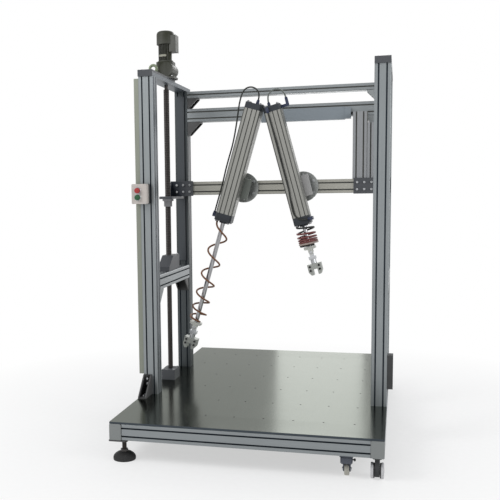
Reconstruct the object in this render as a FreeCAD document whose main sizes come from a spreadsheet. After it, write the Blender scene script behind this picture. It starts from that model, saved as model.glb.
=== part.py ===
import FreeCAD, Part
import math
import os
import Sketcher

# Steering durability tester: an extrusion frame on a drilled table, with a screw-driven
# crosshead that carries two swinging pneumatic cylinders.
# The origin lies on the floor under the middle of the table, with the front towards -Y.

doc = FreeCAD.newDocument("SteeringDurabilityTester")
sheet = doc.addObject("Spreadsheet::Sheet", "Dims")

DIMENSIONS = {
    # table frame
    "frame_width": 1300.0,
    "frame_depth": 1920.0,
    "foot_clearance": 110.0,
    "profile": 80.0,
    "side_rail_width": 60.0,
    "plate_thickness": 10.0,
    "end_cap_thickness": 4.0,
    # aluminium section
    "slot_opening": 8.0,
    "slot_lip": 4.5,
    "slot_cavity_width": 15.0,
    "slot_cavity_depth": 6.5,
    "slot_web": 6.0,
    # table holes
    "hole_pitch_across": 145.0,
    "hole_pitch_along": 300.0,
    "hole_radius": 5.1,
    # towers
    "tower_depth": 800.0,
    "post_height": 1720.0,
    "cap_thickness": 22.0,
    "cap_plate_thickness": 12.0,
    "motor_plate_length": 450.0,
    "upper_beam_height": 40.0,
    "lower_beam_drop": 105.0,
    "cross_bar_top": 652.0,
    "gusset_leg": 80.0,
    "gusset_wall": 8.0,
    "gusset_width": 72.0,
    "foot_gusset_leg": 110.0,
    "foot_gusset_width": 46.0,
    "top_plate_lip": 8.0,
    "eye_inset": 150.0,
    # linear guides
    "guide_rail_width": 42.0,
    "guide_rail_height": 15.0,
    "guide_height": 28.0,
    "guide_block_width": 76.0,
    "guide_block_length": 86.0,
    "guide_clearance": 0.3,
    "guide_end_gap": 30.0,
    # lift screw
    "screw_radius": 16.0,
    "shank_radius": 14.0,
    "journal_radius": 10.0,
    "running_gap": 0.08,
    "bar_bore_gap": 1.5,
    "bearing_width": 110.0,
    "steady_height": 86.0,
    "foot_bearing_height": 60.0,
    "nut_flange_radius": 34.0,
    "nut_flange_height": 12.0,
    "nut_body_radius": 25.0,
    "nut_length": 44.0,
    # motor and worm gearbox
    "gearbox_width": 118.0,
    "gearbox_height": 96.0,
    "gearbox_boss_radius": 40.0,
    "motor_radius": 36.0,
    "motor_length": 112.0,
    "fan_cover_radius": 42.0,
    "fan_cover_length": 62.0,
    "eye_radius": 24.0,
    "eye_bar": 12.0,
    "terminal_box_depth": 30.0,
    "terminal_box_height": 96.0,
    # crosshead
    "crosshead_height": 1128.0,
    "crosshead_plate_thickness": 10.0,
    "crosshead_plate_height": 90.0,
    "left_plate_width": 140.0,
    "right_plate_width": 208.0,
    "right_plate_length": 120.0,
    "beam_end_gap": 6.0,
    "nut_shelf_reach": 44.0,
    "nut_plate_thickness": 15.0,
    "upright_offset": 175.0,
    "upright_height": 381.0,
    "side_upright_width": 40.0,
    "side_upright_height": 318.0,
    "bolt_radius": 6.5,
    "bolt_head": 7.0,
    "bolt_pitch": 40.0,
    # cylinders
    "cylinder_side": 98.0,
    "barrel_groove_depth": 5.0,
    "barrel_groove_width": 6.0,
    "collar_radius": 24.0,
    "collar_length": 12.0,
    "cylinder_bore_radius": 40.0,
    "cylinder_plane": 40.0,
    "barrel_below_pivot": 210.0,
    "barrel_above_pivot": 478.0,
    "front_cap_length": 44.0,
    "rear_cap_length": 34.0,
    "pivot_offset": 35.0,
    "pivot_spacing": 351.0,
    "left_pivot_from_edge": 455.0,
    "left_tilt": 16.0,
    "right_tilt": 15.0,
    "stroke": 490.0,
    "rod_radius": 12.5,
    "rod_exposed": 131.0,
    "piston_length": 60.0,
    "piston_gap": 0.08,
    "piston_end_gap": 10.0,
    "flange_radius": 88.0,
    "flange_thickness": 20.0,
    "hub_radius": 40.0,
    "pivot_pin_radius": 15.0,
    "clamp_thickness": 16.0,
    "clamp_height": 120.0,
    "hub_gap": 0.3,
    # rod tooling
    "clevis_width": 66.0,
    "clevis_length": 46.0,
    "clevis_gap": 22.0,
    "clevis_pin_radius": 6.0,
    "clevis_cheek_width": 26.0,
    "clevis_depth": 42.0,
    "clevis_crown": 14.0,
    "swivel_eye_radius": 12.0,
    "swivel_neck_radius": 16.0,
    "swivel_collar": 40.0,
    "swivel_length": 44.0,
    "jaw_width": 78.0,
    "jaw_length": 64.0,
    "jaw_depth": 56.0,
    "jaw_slot": 26.0,
    "coil_radius": 58.0,
    "coil_inner_radius": 30.0,
    "coil_end_gap": 0.3,
    # hoses
    "hose_radius": 4.5,
    "hose_gap": 4.5,
    "hose_arch_run": 42.0,
    "fitting_width": 16.0,
    "fitting_height": 20.0,
    "fitting_stub": 14.0,
    "cable_radius": 3.5,
    "gland_height": 30.0,
    # control box
    "box_width": 84.0,
    "box_height": 106.0,
    "box_cover_depth": 34.0,
    "box_base_depth": 30.0,
    "button_radius": 15.0,
    "button_travel": 4.0,
    "button_stem_radius": 9.0,
    "button_spacing": 36.0,
    "button_offset": 8.0,
    "button_head": 9.0,
    "box_inset": 14.0,
    "box_level": 1100.0,
    "trunk_width": 26.0,
    "trunk_start": 112.0,
    # supports
    "foot_pad_radius": 55.0,
    "foot_inset": 56.0,
    "corner_wheel_radius": 37.0,
    "corner_wheel_span": 60.0,
    "corner_hood_width": 22.0,
    "corner_caster_inset": 32.0,
    "corner_caster_trail": 16.0,
    "wheel_side_gap": 1.0,
    "inner_wheel_radius": 30.0,
    "inner_wheel_width": 22.0,
    "inner_caster_inset": 168.0,
    "inner_caster_trail": 30.0,
    "axle_radius": 6.0,
    "junction_box_depth": 28.0,
    "side_box_width": 60.0,
    "side_box_start": 92.0,
    "side_box_height": 175.0,
    "duct_depth": 38.0,
    "duct_height": 72.0,
    "duct_offset": 545.0,
    "duct_length": 490.0,
    "duct_box_length": 34.0,
}


def column_name(index):
    """The cell that holds the dimension with this running number."""
    return f"B{index + 1}"


for number, (alias, length) in enumerate(DIMENSIONS.items()):
    sheet.set(f"A{number + 1}", alias.replace("_", " "))
    sheet.set(column_name(number), str(length))
    sheet.setAlias(column_name(number), alias)
doc.recompute()


class Size:
    """A length with the sheet formula that gives it."""

    def __init__(self, value, formula):
        self.value = value
        self.formula = formula

    def __add__(self, other):
        other = as_size(other)
        return Size(self.value + other.value, f"({self.formula} + {other.formula})")

    def __sub__(self, other):
        other = as_size(other)
        return Size(self.value - other.value, f"({self.formula} - {other.formula})")

    def __mul__(self, other):
        other = as_size(other)
        return Size(self.value * other.value, f"({self.formula} * {other.formula})")

    def __truediv__(self, other):
        other = as_size(other)
        return Size(self.value / other.value, f"({self.formula} / {other.formula})")

    def __neg__(self):
        return Size(-self.value, f"(0 - {self.formula})")

    __radd__ = __add__
    __rmul__ = __mul__

    def __rsub__(self, other):
        return as_size(other) - self


def as_size(number):
    """A plain number as a Size; a Size passes through."""
    if isinstance(number, Size):
        return number
    return Size(float(number), f"{float(number):.6f}")


def dim(alias):
    """A driving dimension from the sheet."""
    return Size(float(sheet.get(alias)), f"Dims.{alias}")


X_AXIS = FreeCAD.Vector(1, 0, 0)
Y_AXIS = FreeCAD.Vector(0, 1, 0)
Z_AXIS = FreeCAD.Vector(0, 0, 1)
ALONG_X = FreeCAD.Rotation(Y_AXIS, 90)
ALONG_Y = FreeCAD.Rotation(X_AXIS, -90)
UPRIGHT = FreeCAD.Rotation()

# The tangent length of a hose's bend, as a share of the shorter run beside it
ARC_SHARE = 0.45

nodes = []


def tie(obj, path, size):
    """Sets one property and binds it to the sheet."""
    obj.setExpression(path, as_size(size).formula)


def place(obj, x, y, z, rotation=UPRIGHT):
    """Puts an object at a place that follows the sheet."""
    x, y, z = as_size(x), as_size(y), as_size(z)
    obj.Placement = FreeCAD.Placement(FreeCAD.Vector(x.value, y.value, z.value), rotation)
    tie(obj, "Placement.Base.x", x)
    tie(obj, "Placement.Base.y", y)
    tie(obj, "Placement.Base.z", z)
    return obj


def keep(obj, label):
    """Names an object as one sub-part of the machine."""
    obj.Label = label
    nodes.append(obj)
    return obj


def new_body(name):
    return doc.addObject("PartDesign::Body", name)


def new_sketch(body, role, name, offset=0):
    """A sketch on one of the body's own origin planes, moved along its normal."""
    sketch = body.newObject("Sketcher::SketchObject", name)
    plane = [item for item in body.Origin.OriginFeatures if item.Role == role][0]
    sketch.AttachmentSupport = [(plane, "")]
    sketch.MapMode = "FlatFace"
    offset = as_size(offset)
    sketch.AttachmentOffset = FreeCAD.Placement(FreeCAD.Vector(0, 0, offset.value), UPRIGHT)
    if offset.value:
        tie(sketch, "AttachmentOffset.Base.z", offset)
    return sketch


def pin_point(sketch, geometry, point, x, y):
    """Fixes one point of a sketch at a place that follows the sheet."""
    first = sketch.ConstraintCount
    x, y = as_size(x), as_size(y)
    sketch.addConstraint([
        Sketcher.Constraint("DistanceX", -1, 1, geometry, point, x.value),
        Sketcher.Constraint("DistanceY", -1, 1, geometry, point, y.value),
    ])
    sketch.setExpression(f"Constraints[{first}]", x.formula)
    sketch.setExpression(f"Constraints[{first + 1}]", y.formula)


def add_polygon(sketch, points):
    """Draws a closed outline through the points."""
    first = sketch.GeometryCount
    count = len(points)
    corners = [FreeCAD.Vector(as_size(x).value, as_size(y).value, 0) for x, y in points]
    lines = [Part.LineSegment(corners[i], corners[(i + 1) % count]) for i in range(count)]
    sketch.addGeometry(lines, False)
    sketch.addConstraint([
        Sketcher.Constraint("Coincident", first + i, 2, first + (i + 1) % count, 1)
        for i in range(count)
    ])
    for i, (x, y) in enumerate(points):
        pin_point(sketch, first + i, 1, x, y)


def add_circle(sketch, x, y, radius):
    """Draws a circle of a named radius."""
    x, y, radius = as_size(x), as_size(y), as_size(radius)
    centre = FreeCAD.Vector(x.value, y.value, 0)
    geometry = sketch.addGeometry(Part.Circle(centre, Z_AXIS, radius.value), False)
    if x.value or y.value:
        pin_point(sketch, geometry, 3, x, y)
    else:
        sketch.addConstraint(Sketcher.Constraint("Coincident", geometry, 3, -1, 1))
    index = sketch.addConstraint(Sketcher.Constraint("Radius", geometry, radius.value))
    sketch.setExpression(f"Constraints[{index}]", radius.formula)


def rectangle(x0, x1, y0, y1):
    return [(x0, y0), (x1, y0), (x1, y1), (x0, y1)]


def centred(width, height):
    return rectangle(-width / 2, width / 2, -height / 2, height / 2)


def cut_corners(width, height, cut):
    """A centred rectangle with its four corners cut off."""
    w, t = width / 2, height / 2
    return [(cut - w, -t), (w - cut, -t), (w, cut - t), (w, t - cut),
            (w - cut, t), (cut - w, t), (-w, t - cut), (-w, cut - t)]


def pad(body, sketch, length, both_ways=False, reverse=False):
    """Thickens a sketch into material."""
    feature = body.newObject("PartDesign::Pad", "Pad")
    feature.Profile = sketch
    feature.Length = as_size(length).value
    tie(feature, "Length", length)
    feature.Midplane = both_ways
    feature.Reversed = reverse
    return feature


def pocket(body, sketch, both_ways=False):
    """Cuts a sketch right through the body."""
    doc.recompute()
    before = body.Shape.Volume
    feature = body.newObject("PartDesign::Pocket", "Pocket")
    feature.Profile = sketch
    feature.Type = "ThroughAll"
    feature.Midplane = both_ways
    doc.recompute()
    if body.Shape.Volume > before - 1e-6:
        feature.Reversed = True
        doc.recompute()
    if body.Shape.Volume > before - 1e-6:
        raise RuntimeError(f"{body.Name}: the pocket cuts nothing")
    return feature


def revolve(body, points, name="Outline"):
    """Turns an outline of radius and height about the body's Z axis."""
    sketch = new_sketch(body, "XZ_Plane", name)
    add_polygon(sketch, points)
    feature = body.newObject("PartDesign::Revolution", "Revolution")
    feature.Profile = sketch
    feature.ReferenceAxis = (sketch, ["V_Axis"])
    feature.Angle = 360
    return feature


def box(name, x0, x1, y0, y1, z0, z1):
    """A block between named limits."""
    block = doc.addObject("Part::Box", name)
    for prop, size in (("Length", x1 - x0), ("Width", y1 - y0), ("Height", z1 - z0)):
        setattr(block, prop, as_size(size).value)
        tie(block, prop, size)
    return place(block, x0, y0, z0)


def cylinder(name, radius, length, x, y, z, rotation=UPRIGHT):
    """A round bar from a named place."""
    bar = doc.addObject("Part::Cylinder", name)
    bar.Radius = as_size(radius).value
    bar.Height = as_size(length).value
    tie(bar, "Radius", radius)
    tie(bar, "Height", length)
    return place(bar, x, y, z, rotation)


def subtract(name, base, *tools):
    """Cuts tools from a base."""
    result = base
    for number, tool in enumerate(tools):
        step = doc.addObject("Part::Cut", f"{name}Cut{number}")
        step.Base = result
        step.Tool = tool
        result = step
    return result


def fuse(name, *pieces):
    """Joins pieces into one solid."""
    whole = doc.addObject("Part::MultiFuse", name)
    whole.Shapes = list(pieces)
    whole.Refine = True
    return whole


def group(name, *pieces):
    """Keeps like pieces together as separate solids."""
    whole = doc.addObject("Part::Compound", name)
    whole.Links = list(pieces)
    return whole


def tube(name, points, radius):
    """An eight-sided tube along straight runs, with arcs as large as the runs allow."""
    spots = [FreeCAD.Vector(*(as_size(value).value for value in point)) for point in points]
    edges = []
    bends = []
    start = spots[0]
    for before, corner, after in zip(spots, spots[1:], spots[2:]):
        incoming = corner - before
        outgoing = after - corner
        half_turn = incoming.getAngle(outgoing) / 2
        reach = ARC_SHARE * min(incoming.Length, outgoing.Length)
        bend = reach / math.tan(half_turn)
        first = corner - incoming.normalize() * reach
        last = corner + outgoing.normalize() * reach
        inward = ((first + last) * 0.5 - corner).normalize()
        middle = corner + inward * (bend / math.cos(half_turn) - bend)
        edges.append(Part.LineSegment(start, first).toShape())
        edges.append(Part.Arc(first, middle, last).toShape())
        bends.append(f"{bend:.0f}")
        start = last
    edges.append(Part.LineSegment(start, spots[-1]).toShape())
    path = Part.Wire(edges)
    across = FreeCAD.Rotation(Z_AXIS, spots[1] - spots[0])
    ring = [spots[0] + across.multVec(FreeCAD.Vector(x.value, y.value, 0))
            for x, y in octagon(0, 0, radius)]
    section = Part.Face(Part.makePolygon([*ring, ring[0]]))
    solid = path.makePipe(section)
    expected = section.Area * path.Length
    if abs(solid.Volume / expected - 1) > 0.01:
        raise RuntimeError(f"{name}: the tube's volume is wrong")
    print(f"{name}: length {path.Length:.0f} mm, bend radii", ", ".join(bends))
    made = doc.addObject("Part::Feature", name)
    made.Shape = solid
    return made


def slot_outline(side_x, side_y, shift, across, undercut):
    """The outline of one slot, on the side that side_x or side_y points to."""
    half_open = dim("slot_opening") / 2
    half_cavity = dim("slot_cavity_width") / 2
    lip = dim("slot_lip")
    bottom = lip + dim("slot_cavity_depth")
    reach = across / 2
    run = [(-half_open, 0), (-half_open, lip), (-half_cavity, lip), (-half_cavity, bottom),
           (half_cavity, bottom), (half_cavity, lip), (half_open, lip), (half_open, 0)]
    if not undercut:
        run = [(-half_open, 0), (-half_open, bottom), (half_open, bottom), (half_open, 0)]
    points = []
    for along, depth in run:
        place_along = as_size(along) + shift
        place_across = reach - depth
        if side_x:
            points.append((place_across * side_x, place_along))
        else:
            points.append((place_along, place_across * side_y))
    return points


def slot_shifts(length):
    """Where the slots lie on a face: one in the middle, or two at its quarters."""
    if length.value > 1.2 * (dim("profile").value - 20):
        return [-length / 4, length / 4]
    return [as_size(0)]


def extrusion(name, length, width=None, height=None, undercut=True):
    """A length of slotted aluminium section along its own Z axis."""
    width = width or dim("profile")
    height = height or dim("profile")
    body = new_body(name)
    section = new_sketch(body, "XY_Plane", "Section")
    add_polygon(section, cut_corners(width, height, as_size(2)))
    pad(body, section, length)
    slots = new_sketch(body, "XY_Plane", "Slots")
    for side in (-1, 1):
        for shift in slot_shifts(height):
            add_polygon(slots, slot_outline(side, 0, shift, width, undercut))
        for shift in slot_shifts(width):
            add_polygon(slots, slot_outline(0, side, shift, height, undercut))
    wall = dim("slot_lip") + dim("slot_cavity_depth") + dim("slot_web")
    core_width = width - wall * 2
    core_height = height - wall * 2
    if core_width.value > 4 and core_height.value > 4:
        add_polygon(slots, centred(core_width, core_height))
    pocket(body, slots)
    return body


# Levels and sides of the frame
frame_width = dim("frame_width")
frame_depth = dim("frame_depth")
profile = dim("profile")
half = profile / 2
left = -frame_width / 2
right = frame_width / 2
front = -frame_depth / 2
back = frame_depth / 2
rail_bottom = dim("foot_clearance")
rail_top = rail_bottom + profile
deck = rail_top + dim("plate_thickness")
tower_front = -dim("tower_depth") / 2
tower_back = dim("tower_depth") / 2
left_post_x = left + half
right_post_x = right - half
front_post_y = tower_front + half
back_post_y = tower_back - half
post_top = deck + dim("post_height")
bar_top = deck + dim("cross_bar_top")
lower_gap = dim("lower_beam_drop") - dim("upper_beam_height")
cap_top = post_top + dim("cap_thickness")
motor_base = cap_top + dim("cap_plate_thickness")
screw_x = left_post_x
journal_hole = dim("journal_radius") + dim("running_gap")

# The moving crosshead
beam_level = deck + dim("crosshead_height")
beam_back = back_post_y - half - dim("guide_height")
beam_y = beam_back - half
beam_front = beam_back - profile
plate_front = beam_front - dim("crosshead_plate_thickness")
plate_bottom = beam_level - dim("crosshead_plate_height") / 2
plate_top = beam_level + dim("crosshead_plate_height") / 2

# The cylinders, which swing in one plane in front of the crosshead
cylinder_y = dim("cylinder_plane")
clamp_back = cylinder_y + dim("cylinder_side") / 2 + dim("clamp_thickness")
left_pivot_x = left + dim("left_pivot_from_edge")
right_pivot_x = left_pivot_x + dim("pivot_spacing")


def make_base():
    """The rails under the table and the caps on the side rails' ends."""
    side_width = dim("side_rail_width")
    inner_length = frame_width - side_width * 2
    level = rail_bottom + half
    sides = []
    for x in (left + side_width / 2, right - side_width / 2):
        rail = extrusion("SideRail", frame_depth, side_width, profile, undercut=False)
        sides.append(place(rail, x, front, level, ALONG_Y))
    across = []
    for y in (front + half, front_post_y, back_post_y, back - half):
        rail = extrusion("CrossRail", inner_length, undercut=False)
        across.append(place(rail, left + side_width, y, level, ALONG_X))
    keep(group("BaseRails", *sides, *across), "base_rails")
    caps = []
    thickness = dim("end_cap_thickness")
    for x in (left + side_width / 2, right - side_width / 2):
        for y in (front, back + thickness):
            cap = new_body("EndCap")
            face = new_sketch(cap, "XZ_Plane", "Face")
            add_polygon(face, cut_corners(side_width, profile, as_size(5)))
            pad(cap, face, thickness)
            caps.append(place(cap, x, y, level))
    keep(group("EndCaps", *caps), "rail_end_caps")


def regular(x, y, radius, sides):
    """Evenly spaced points on a circle."""
    turns = [2 * math.pi * step / sides for step in range(sides)]
    return [(radius * math.cos(turn) + x, radius * math.sin(turn) + y) for turn in turns]


def octagon(x, y, radius):
    """Eight points on a circle."""
    return regular(x, y, radius, 8)


def make_table():
    """The drilled table plate, whose four corner holes are its fixing points."""
    plate = new_body("Table")
    outline = new_sketch(plate, "XY_Plane", "Outline")
    add_polygon(outline, centred(frame_width, frame_depth))
    pad(plate, outline, dim("plate_thickness"))
    column = new_sketch(plate, "XY_Plane", "HoleColumn")
    first_x = dim("hole_pitch_across") * -3.5
    first_y = dim("hole_pitch_along") * -2.5
    radius = dim("hole_radius")
    for row in range(6):
        add_polygon(column, octagon(first_x, first_y + dim("hole_pitch_along") * row, radius))
    drilled = pocket(plate, column)
    pattern = plate.newObject("PartDesign::LinearPattern", "HoleColumns")
    pattern.Originals = [drilled]
    pattern.Direction = (column, ["H_Axis"])
    pattern.Occurrences = 8
    pattern.Length = (dim("hole_pitch_across") * 7).value
    tie(pattern, "Length", dim("hole_pitch_across") * 7)
    plate.Tip = pattern
    corners = new_sketch(plate, "XY_Plane", "CornerHoles")
    for x in (first_x, -first_x):
        for y in (first_y, -first_y):
            add_circle(corners, x, y, radius)
    pocket(plate, corners)
    keep(place(plate, 0, 0, rail_top), "table_plate")


def make_posts():
    """Four posts, with a guide rail on the front of each back post."""
    posts = []
    for x in (left_post_x, right_post_x):
        for y in (front_post_y, back_post_y):
            post = extrusion("Post", dim("post_height"), undercut=False)
            posts.append(place(post, x, y, deck))
    keep(group("Posts", *posts), "tower_posts")
    rails = []
    for x in (left_post_x, right_post_x):
        half_rail = dim("guide_rail_width") / 2
        waist = half_rail - 5
        tall = dim("guide_rail_height")
        rail = new_body("GuideRail")
        section = new_sketch(rail, "XY_Plane", "Section")
        add_polygon(section, [
            (-half_rail, 0), (half_rail, 0), (half_rail, -tall * 0.35), (waist, -tall * 0.5),
            (waist, -tall * 0.7), (half_rail - 1, -tall), (1 - half_rail, -tall),
            (-waist, -tall * 0.7), (-waist, -tall * 0.5), (-half_rail, -tall * 0.35)])
        pad(rail, section, post_top - bar_top - dim("guide_end_gap") * 2)
        rails.append(place(rail, x, back_post_y - half, bar_top + dim("guide_end_gap")))
    keep(group("GuideRails", *rails), "guide_rails")


def make_gusset(name, leg=None, width=None):
    """A corner bracket whose legs lie along +X and +Z, with two webs."""
    leg = leg or dim("gusset_leg")
    width = width or dim("gusset_width")
    wall = dim("gusset_wall")
    body = new_body(name)
    side = new_sketch(body, "XZ_Plane", "Side")
    add_polygon(side, [(0, 0), (leg, 0), (leg, wall), (wall, leg), (0, leg)])
    pad(body, side, width, both_ways=True)
    hollow = new_sketch(body, "XZ_Plane", "Hollow")
    add_polygon(hollow, [(wall, wall), (leg + wall, wall), (wall, leg + wall)])
    doc.recompute()
    hollowed = body.newObject("PartDesign::Pocket", "Hollow")
    hollowed.Profile = hollow
    hollowed.Midplane = True
    hollowed.Length = (width - wall * 2).value
    tie(hollowed, "Length", width - wall * 2)
    return body


def make_beams():
    """Beams that tie the back posts, and a bar across each tower."""
    inner_length = frame_width - profile * 2
    upper_height = dim("upper_beam_height")
    upper = extrusion("UpperBeam", inner_length, upper_height, profile, undercut=False)
    upper_level = post_top - upper_height / 2
    keep(place(upper, left + profile, back_post_y, upper_level, ALONG_X), "upper_beam")
    lower = extrusion("LowerBeam", inner_length, undercut=False)
    lower_top = post_top - dim("lower_beam_drop")
    keep(place(lower, left + profile, back_post_y, lower_top - half, ALONG_X), "lower_beam")

    bar_length = dim("tower_depth") - profile * 2
    bars = []
    for x in (left_post_x, right_post_x):
        bar = place(extrusion("CrossBar", bar_length, undercut=False), x,
                    tower_front + profile, bar_top - half, ALONG_Y)
        if x is left_post_x:
            bore = cylinder("BarBore", dim("shank_radius") + dim("bar_bore_gap"), profile + 2,
                            screw_x, 0, bar_top - profile - 1)
            bar = subtract("LeftBar", bar, bore)
        bars.append(bar)
    keep(group("CrossBars", *bars), "tower_cross_bars")

    turned_down = FreeCAD.Rotation(X_AXIS, 180)
    turned_both = FreeCAD.Rotation(Y_AXIS, 180)
    back_facing = FreeCAD.Rotation(Z_AXIS, 90)
    front_facing = FreeCAD.Rotation(Z_AXIS, -90)
    gusset_leg = dim("gusset_leg")
    upper_leg = lower_gap - 2
    levels = ((upper_level - upper_height / 2, upper_leg), (lower_top - profile, gusset_leg))
    dark = []
    light = []
    for level, leg in levels:
        dark.append(place(make_gusset("DarkGusset", leg), left + profile, back_post_y, level,
                          turned_down))
        light.append(place(make_gusset("LightGusset", leg), right - profile, back_post_y,
                           level, turned_both))
    bar_bottom = bar_top - profile
    for x in (left_post_x, right_post_x):
        light.append(place(make_gusset("LightGusset"), x, tower_front + profile, bar_bottom,
                           back_facing * turned_down))
        dark.append(place(make_gusset("DarkGusset"), x, tower_back - profile, bar_bottom,
                          front_facing * turned_down))
    foot_width = dim("foot_gusset_width")
    dark.append(place(make_gusset("FootGusset", dim("foot_gusset_leg"), foot_width),
                      left + foot_width / 2, tower_front, deck, front_facing))
    keep(group("Gussets", *dark, *light), "corner_brackets")


def make_tower_caps():
    """A bar and a motor plate over the left tower, and a thick cap over the right one."""
    bar = box("LeftCap", left, left + profile, tower_front, tower_back, post_top, cap_top)
    passage = cylinder("CapPassage", journal_hole, dim("cap_thickness") + 2, screw_x, 0,
                       post_top - 1)
    keep(subtract("LeftCapBored", bar, passage), "left_tower_cap")
    lip = dim("top_plate_lip")
    reach = tower_front + dim("motor_plate_length")
    plate = new_body("MotorPlate")
    shape = new_sketch(plate, "YZ_Plane", "Side")
    add_polygon(shape, [
        (tower_front - lip, post_top), (tower_front, post_top), (tower_front, cap_top),
        (reach, cap_top), (reach, motor_base), (tower_front - lip, motor_base)])
    pad(plate, shape, profile, both_ways=True)
    place(plate, left_post_x, 0, 0)
    passage = cylinder("PlatePassage", journal_hole, dim("cap_plate_thickness") + 2, screw_x, 0,
                       cap_top - 1)
    right_cap = box("RightCap", right - profile, right, tower_front - lip, tower_back, post_top,
                    motor_base)
    keep(group("TopPlates", subtract("MotorPlateBored", plate, passage), right_cap),
         "tower_top_plates")


def make_motor():
    """Worm gearbox on the motor plate, with the vertical motor above it."""
    width = dim("gearbox_width")
    height = dim("gearbox_height")
    top = motor_base + height
    housing = new_body("Gearbox")
    foot = new_sketch(housing, "XY_Plane", "Foot")
    add_polygon(foot, cut_corners(width, width, as_size(14)))
    pad(housing, foot, height * 0.12)
    waist = new_sketch(housing, "XY_Plane", "Waist")
    add_polygon(waist, cut_corners(width * 0.82, width * 0.82, as_size(18)))
    pad(housing, waist, height)
    boss = new_sketch(housing, "XZ_Plane", "WormBoss")
    add_polygon(boss, regular(width * 0.16, height * 0.52, dim("gearbox_boss_radius"), 24))
    pad(housing, boss, width, both_ways=True)
    place(housing, screw_x, 0, motor_base)
    socket = cylinder("GearboxSocket", journal_hole, height * 0.5 + 1, screw_x, 0,
                      motor_base - 1)
    keep(subtract("GearboxBored", housing, socket), "worm_gearbox")

    motor = new_body("Motor")
    radius = dim("motor_radius")
    length = dim("motor_length")
    flange = as_size(8)
    fin_height = as_size(5)
    base = new_sketch(motor, "XY_Plane", "Base")
    add_polygon(base, regular(0, 0, radius + flange, 24))
    pad(motor, base, flange)
    core = new_sketch(motor, "XY_Plane", "Core")
    add_polygon(core, regular(0, 0, radius, 24))
    pad(motor, core, length)
    fin = new_sketch(motor, "XY_Plane", "Fin", flange)
    add_polygon(fin, rectangle(radius - 2, radius + fin_height, -1.6, 1.6))
    ribs = pad(motor, fin, length - flange * 2)
    pattern = motor.newObject("PartDesign::PolarPattern", "Fins")
    pattern.Originals = [ribs]
    pattern.Axis = (fin, ["N_Axis"])
    pattern.Angle = 360
    pattern.Occurrences = 12
    motor.Tip = pattern
    terminal = new_sketch(motor, "YZ_Plane", "TerminalBox", radius + fin_height - 2)
    box_height = dim("terminal_box_height")
    box_width = as_size(68)
    box_low = length - box_height - flange
    add_polygon(terminal, rectangle(-box_width / 2, box_width / 2, box_low,
                                    box_low + box_height))
    pad(motor, terminal, dim("terminal_box_depth"))
    keep(place(motor, screw_x, 0, top), "motor_body")

    cover = new_body("FanCover")
    outer = dim("fan_cover_radius")
    tall = dim("fan_cover_length")
    shell = new_sketch(cover, "XY_Plane", "Shell")
    add_circle(shell, 0, 0, outer)
    pad(cover, shell, tall)
    keep(place(cover, screw_x, 0, top + length), "fan_cover")

    eye = new_body("LiftingEye")
    ring = dim("eye_radius")
    bar = dim("eye_bar")
    stand = ring + bar / 2 + 4
    face = new_sketch(eye, "YZ_Plane", "Ring")
    add_polygon(face, regular(0, stand, ring + bar / 2, 24))
    add_polygon(face, regular(0, stand, ring - bar / 2, 24))
    pad(eye, face, bar, both_ways=True)
    foot = new_sketch(eye, "XY_Plane", "Foot")
    add_polygon(foot, octagon(0, 0, as_size(15)))
    pad(eye, foot, as_size(8))
    keep(place(eye, screw_x, tower_front + dim("eye_inset"), motor_base), "lifting_eye")


def make_lift_screw():
    """The screw, the steady on the cross bar and the bearing on the table."""
    gearbox_reach = motor_base + dim("gearbox_height") * 0.4
    foot_tall = dim("foot_bearing_height")
    steady_tall = dim("steady_height")
    screw = new_body("LiftScrew")
    start = deck + 12
    shank_start = deck + foot_tall + 3
    thread_start = bar_top + steady_tall + 4
    thread_end = post_top - 24
    journal = dim("journal_radius")
    shank = dim("shank_radius")
    radius = dim("screw_radius")
    revolve(screw, [
        (0, start), (journal, start), (journal, shank_start), (shank, shank_start),
        (shank, thread_start), (radius, thread_start), (radius, thread_end),
        (journal, thread_end), (journal, gearbox_reach), (0, gearbox_reach)])
    keep(place(screw, screw_x, 0, 0), "lift_screw")

    wide = dim("bearing_width")
    steady = new_body("Steady")
    face = new_sketch(steady, "YZ_Plane", "Face")
    foot = steady_tall * 0.3
    add_polygon(face, [(-wide, 0), (wide, 0), (wide, steady_tall), (-wide * 0.2, steady_tall),
                       (-wide, foot)])
    pad(steady, face, profile - 12, both_ways=True)
    place(steady, screw_x, 0, bar_top)
    bore = cylinder("SteadyBore", shank + dim("running_gap"), steady_tall + 2, screw_x, 0,
                    bar_top - 1)
    bearing = box("FootBearing", screw_x - half, screw_x + half, -wide / 2, wide / 2, deck,
                  deck + foot_tall)
    foot_bore = cylinder("FootBore", journal_hole, foot_tall, screw_x, 0, deck + 10)
    keep(group("Bearings", subtract("SteadyBored", steady, bore),
               subtract("FootBored", bearing, foot_bore)), "screw_bearings")


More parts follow.
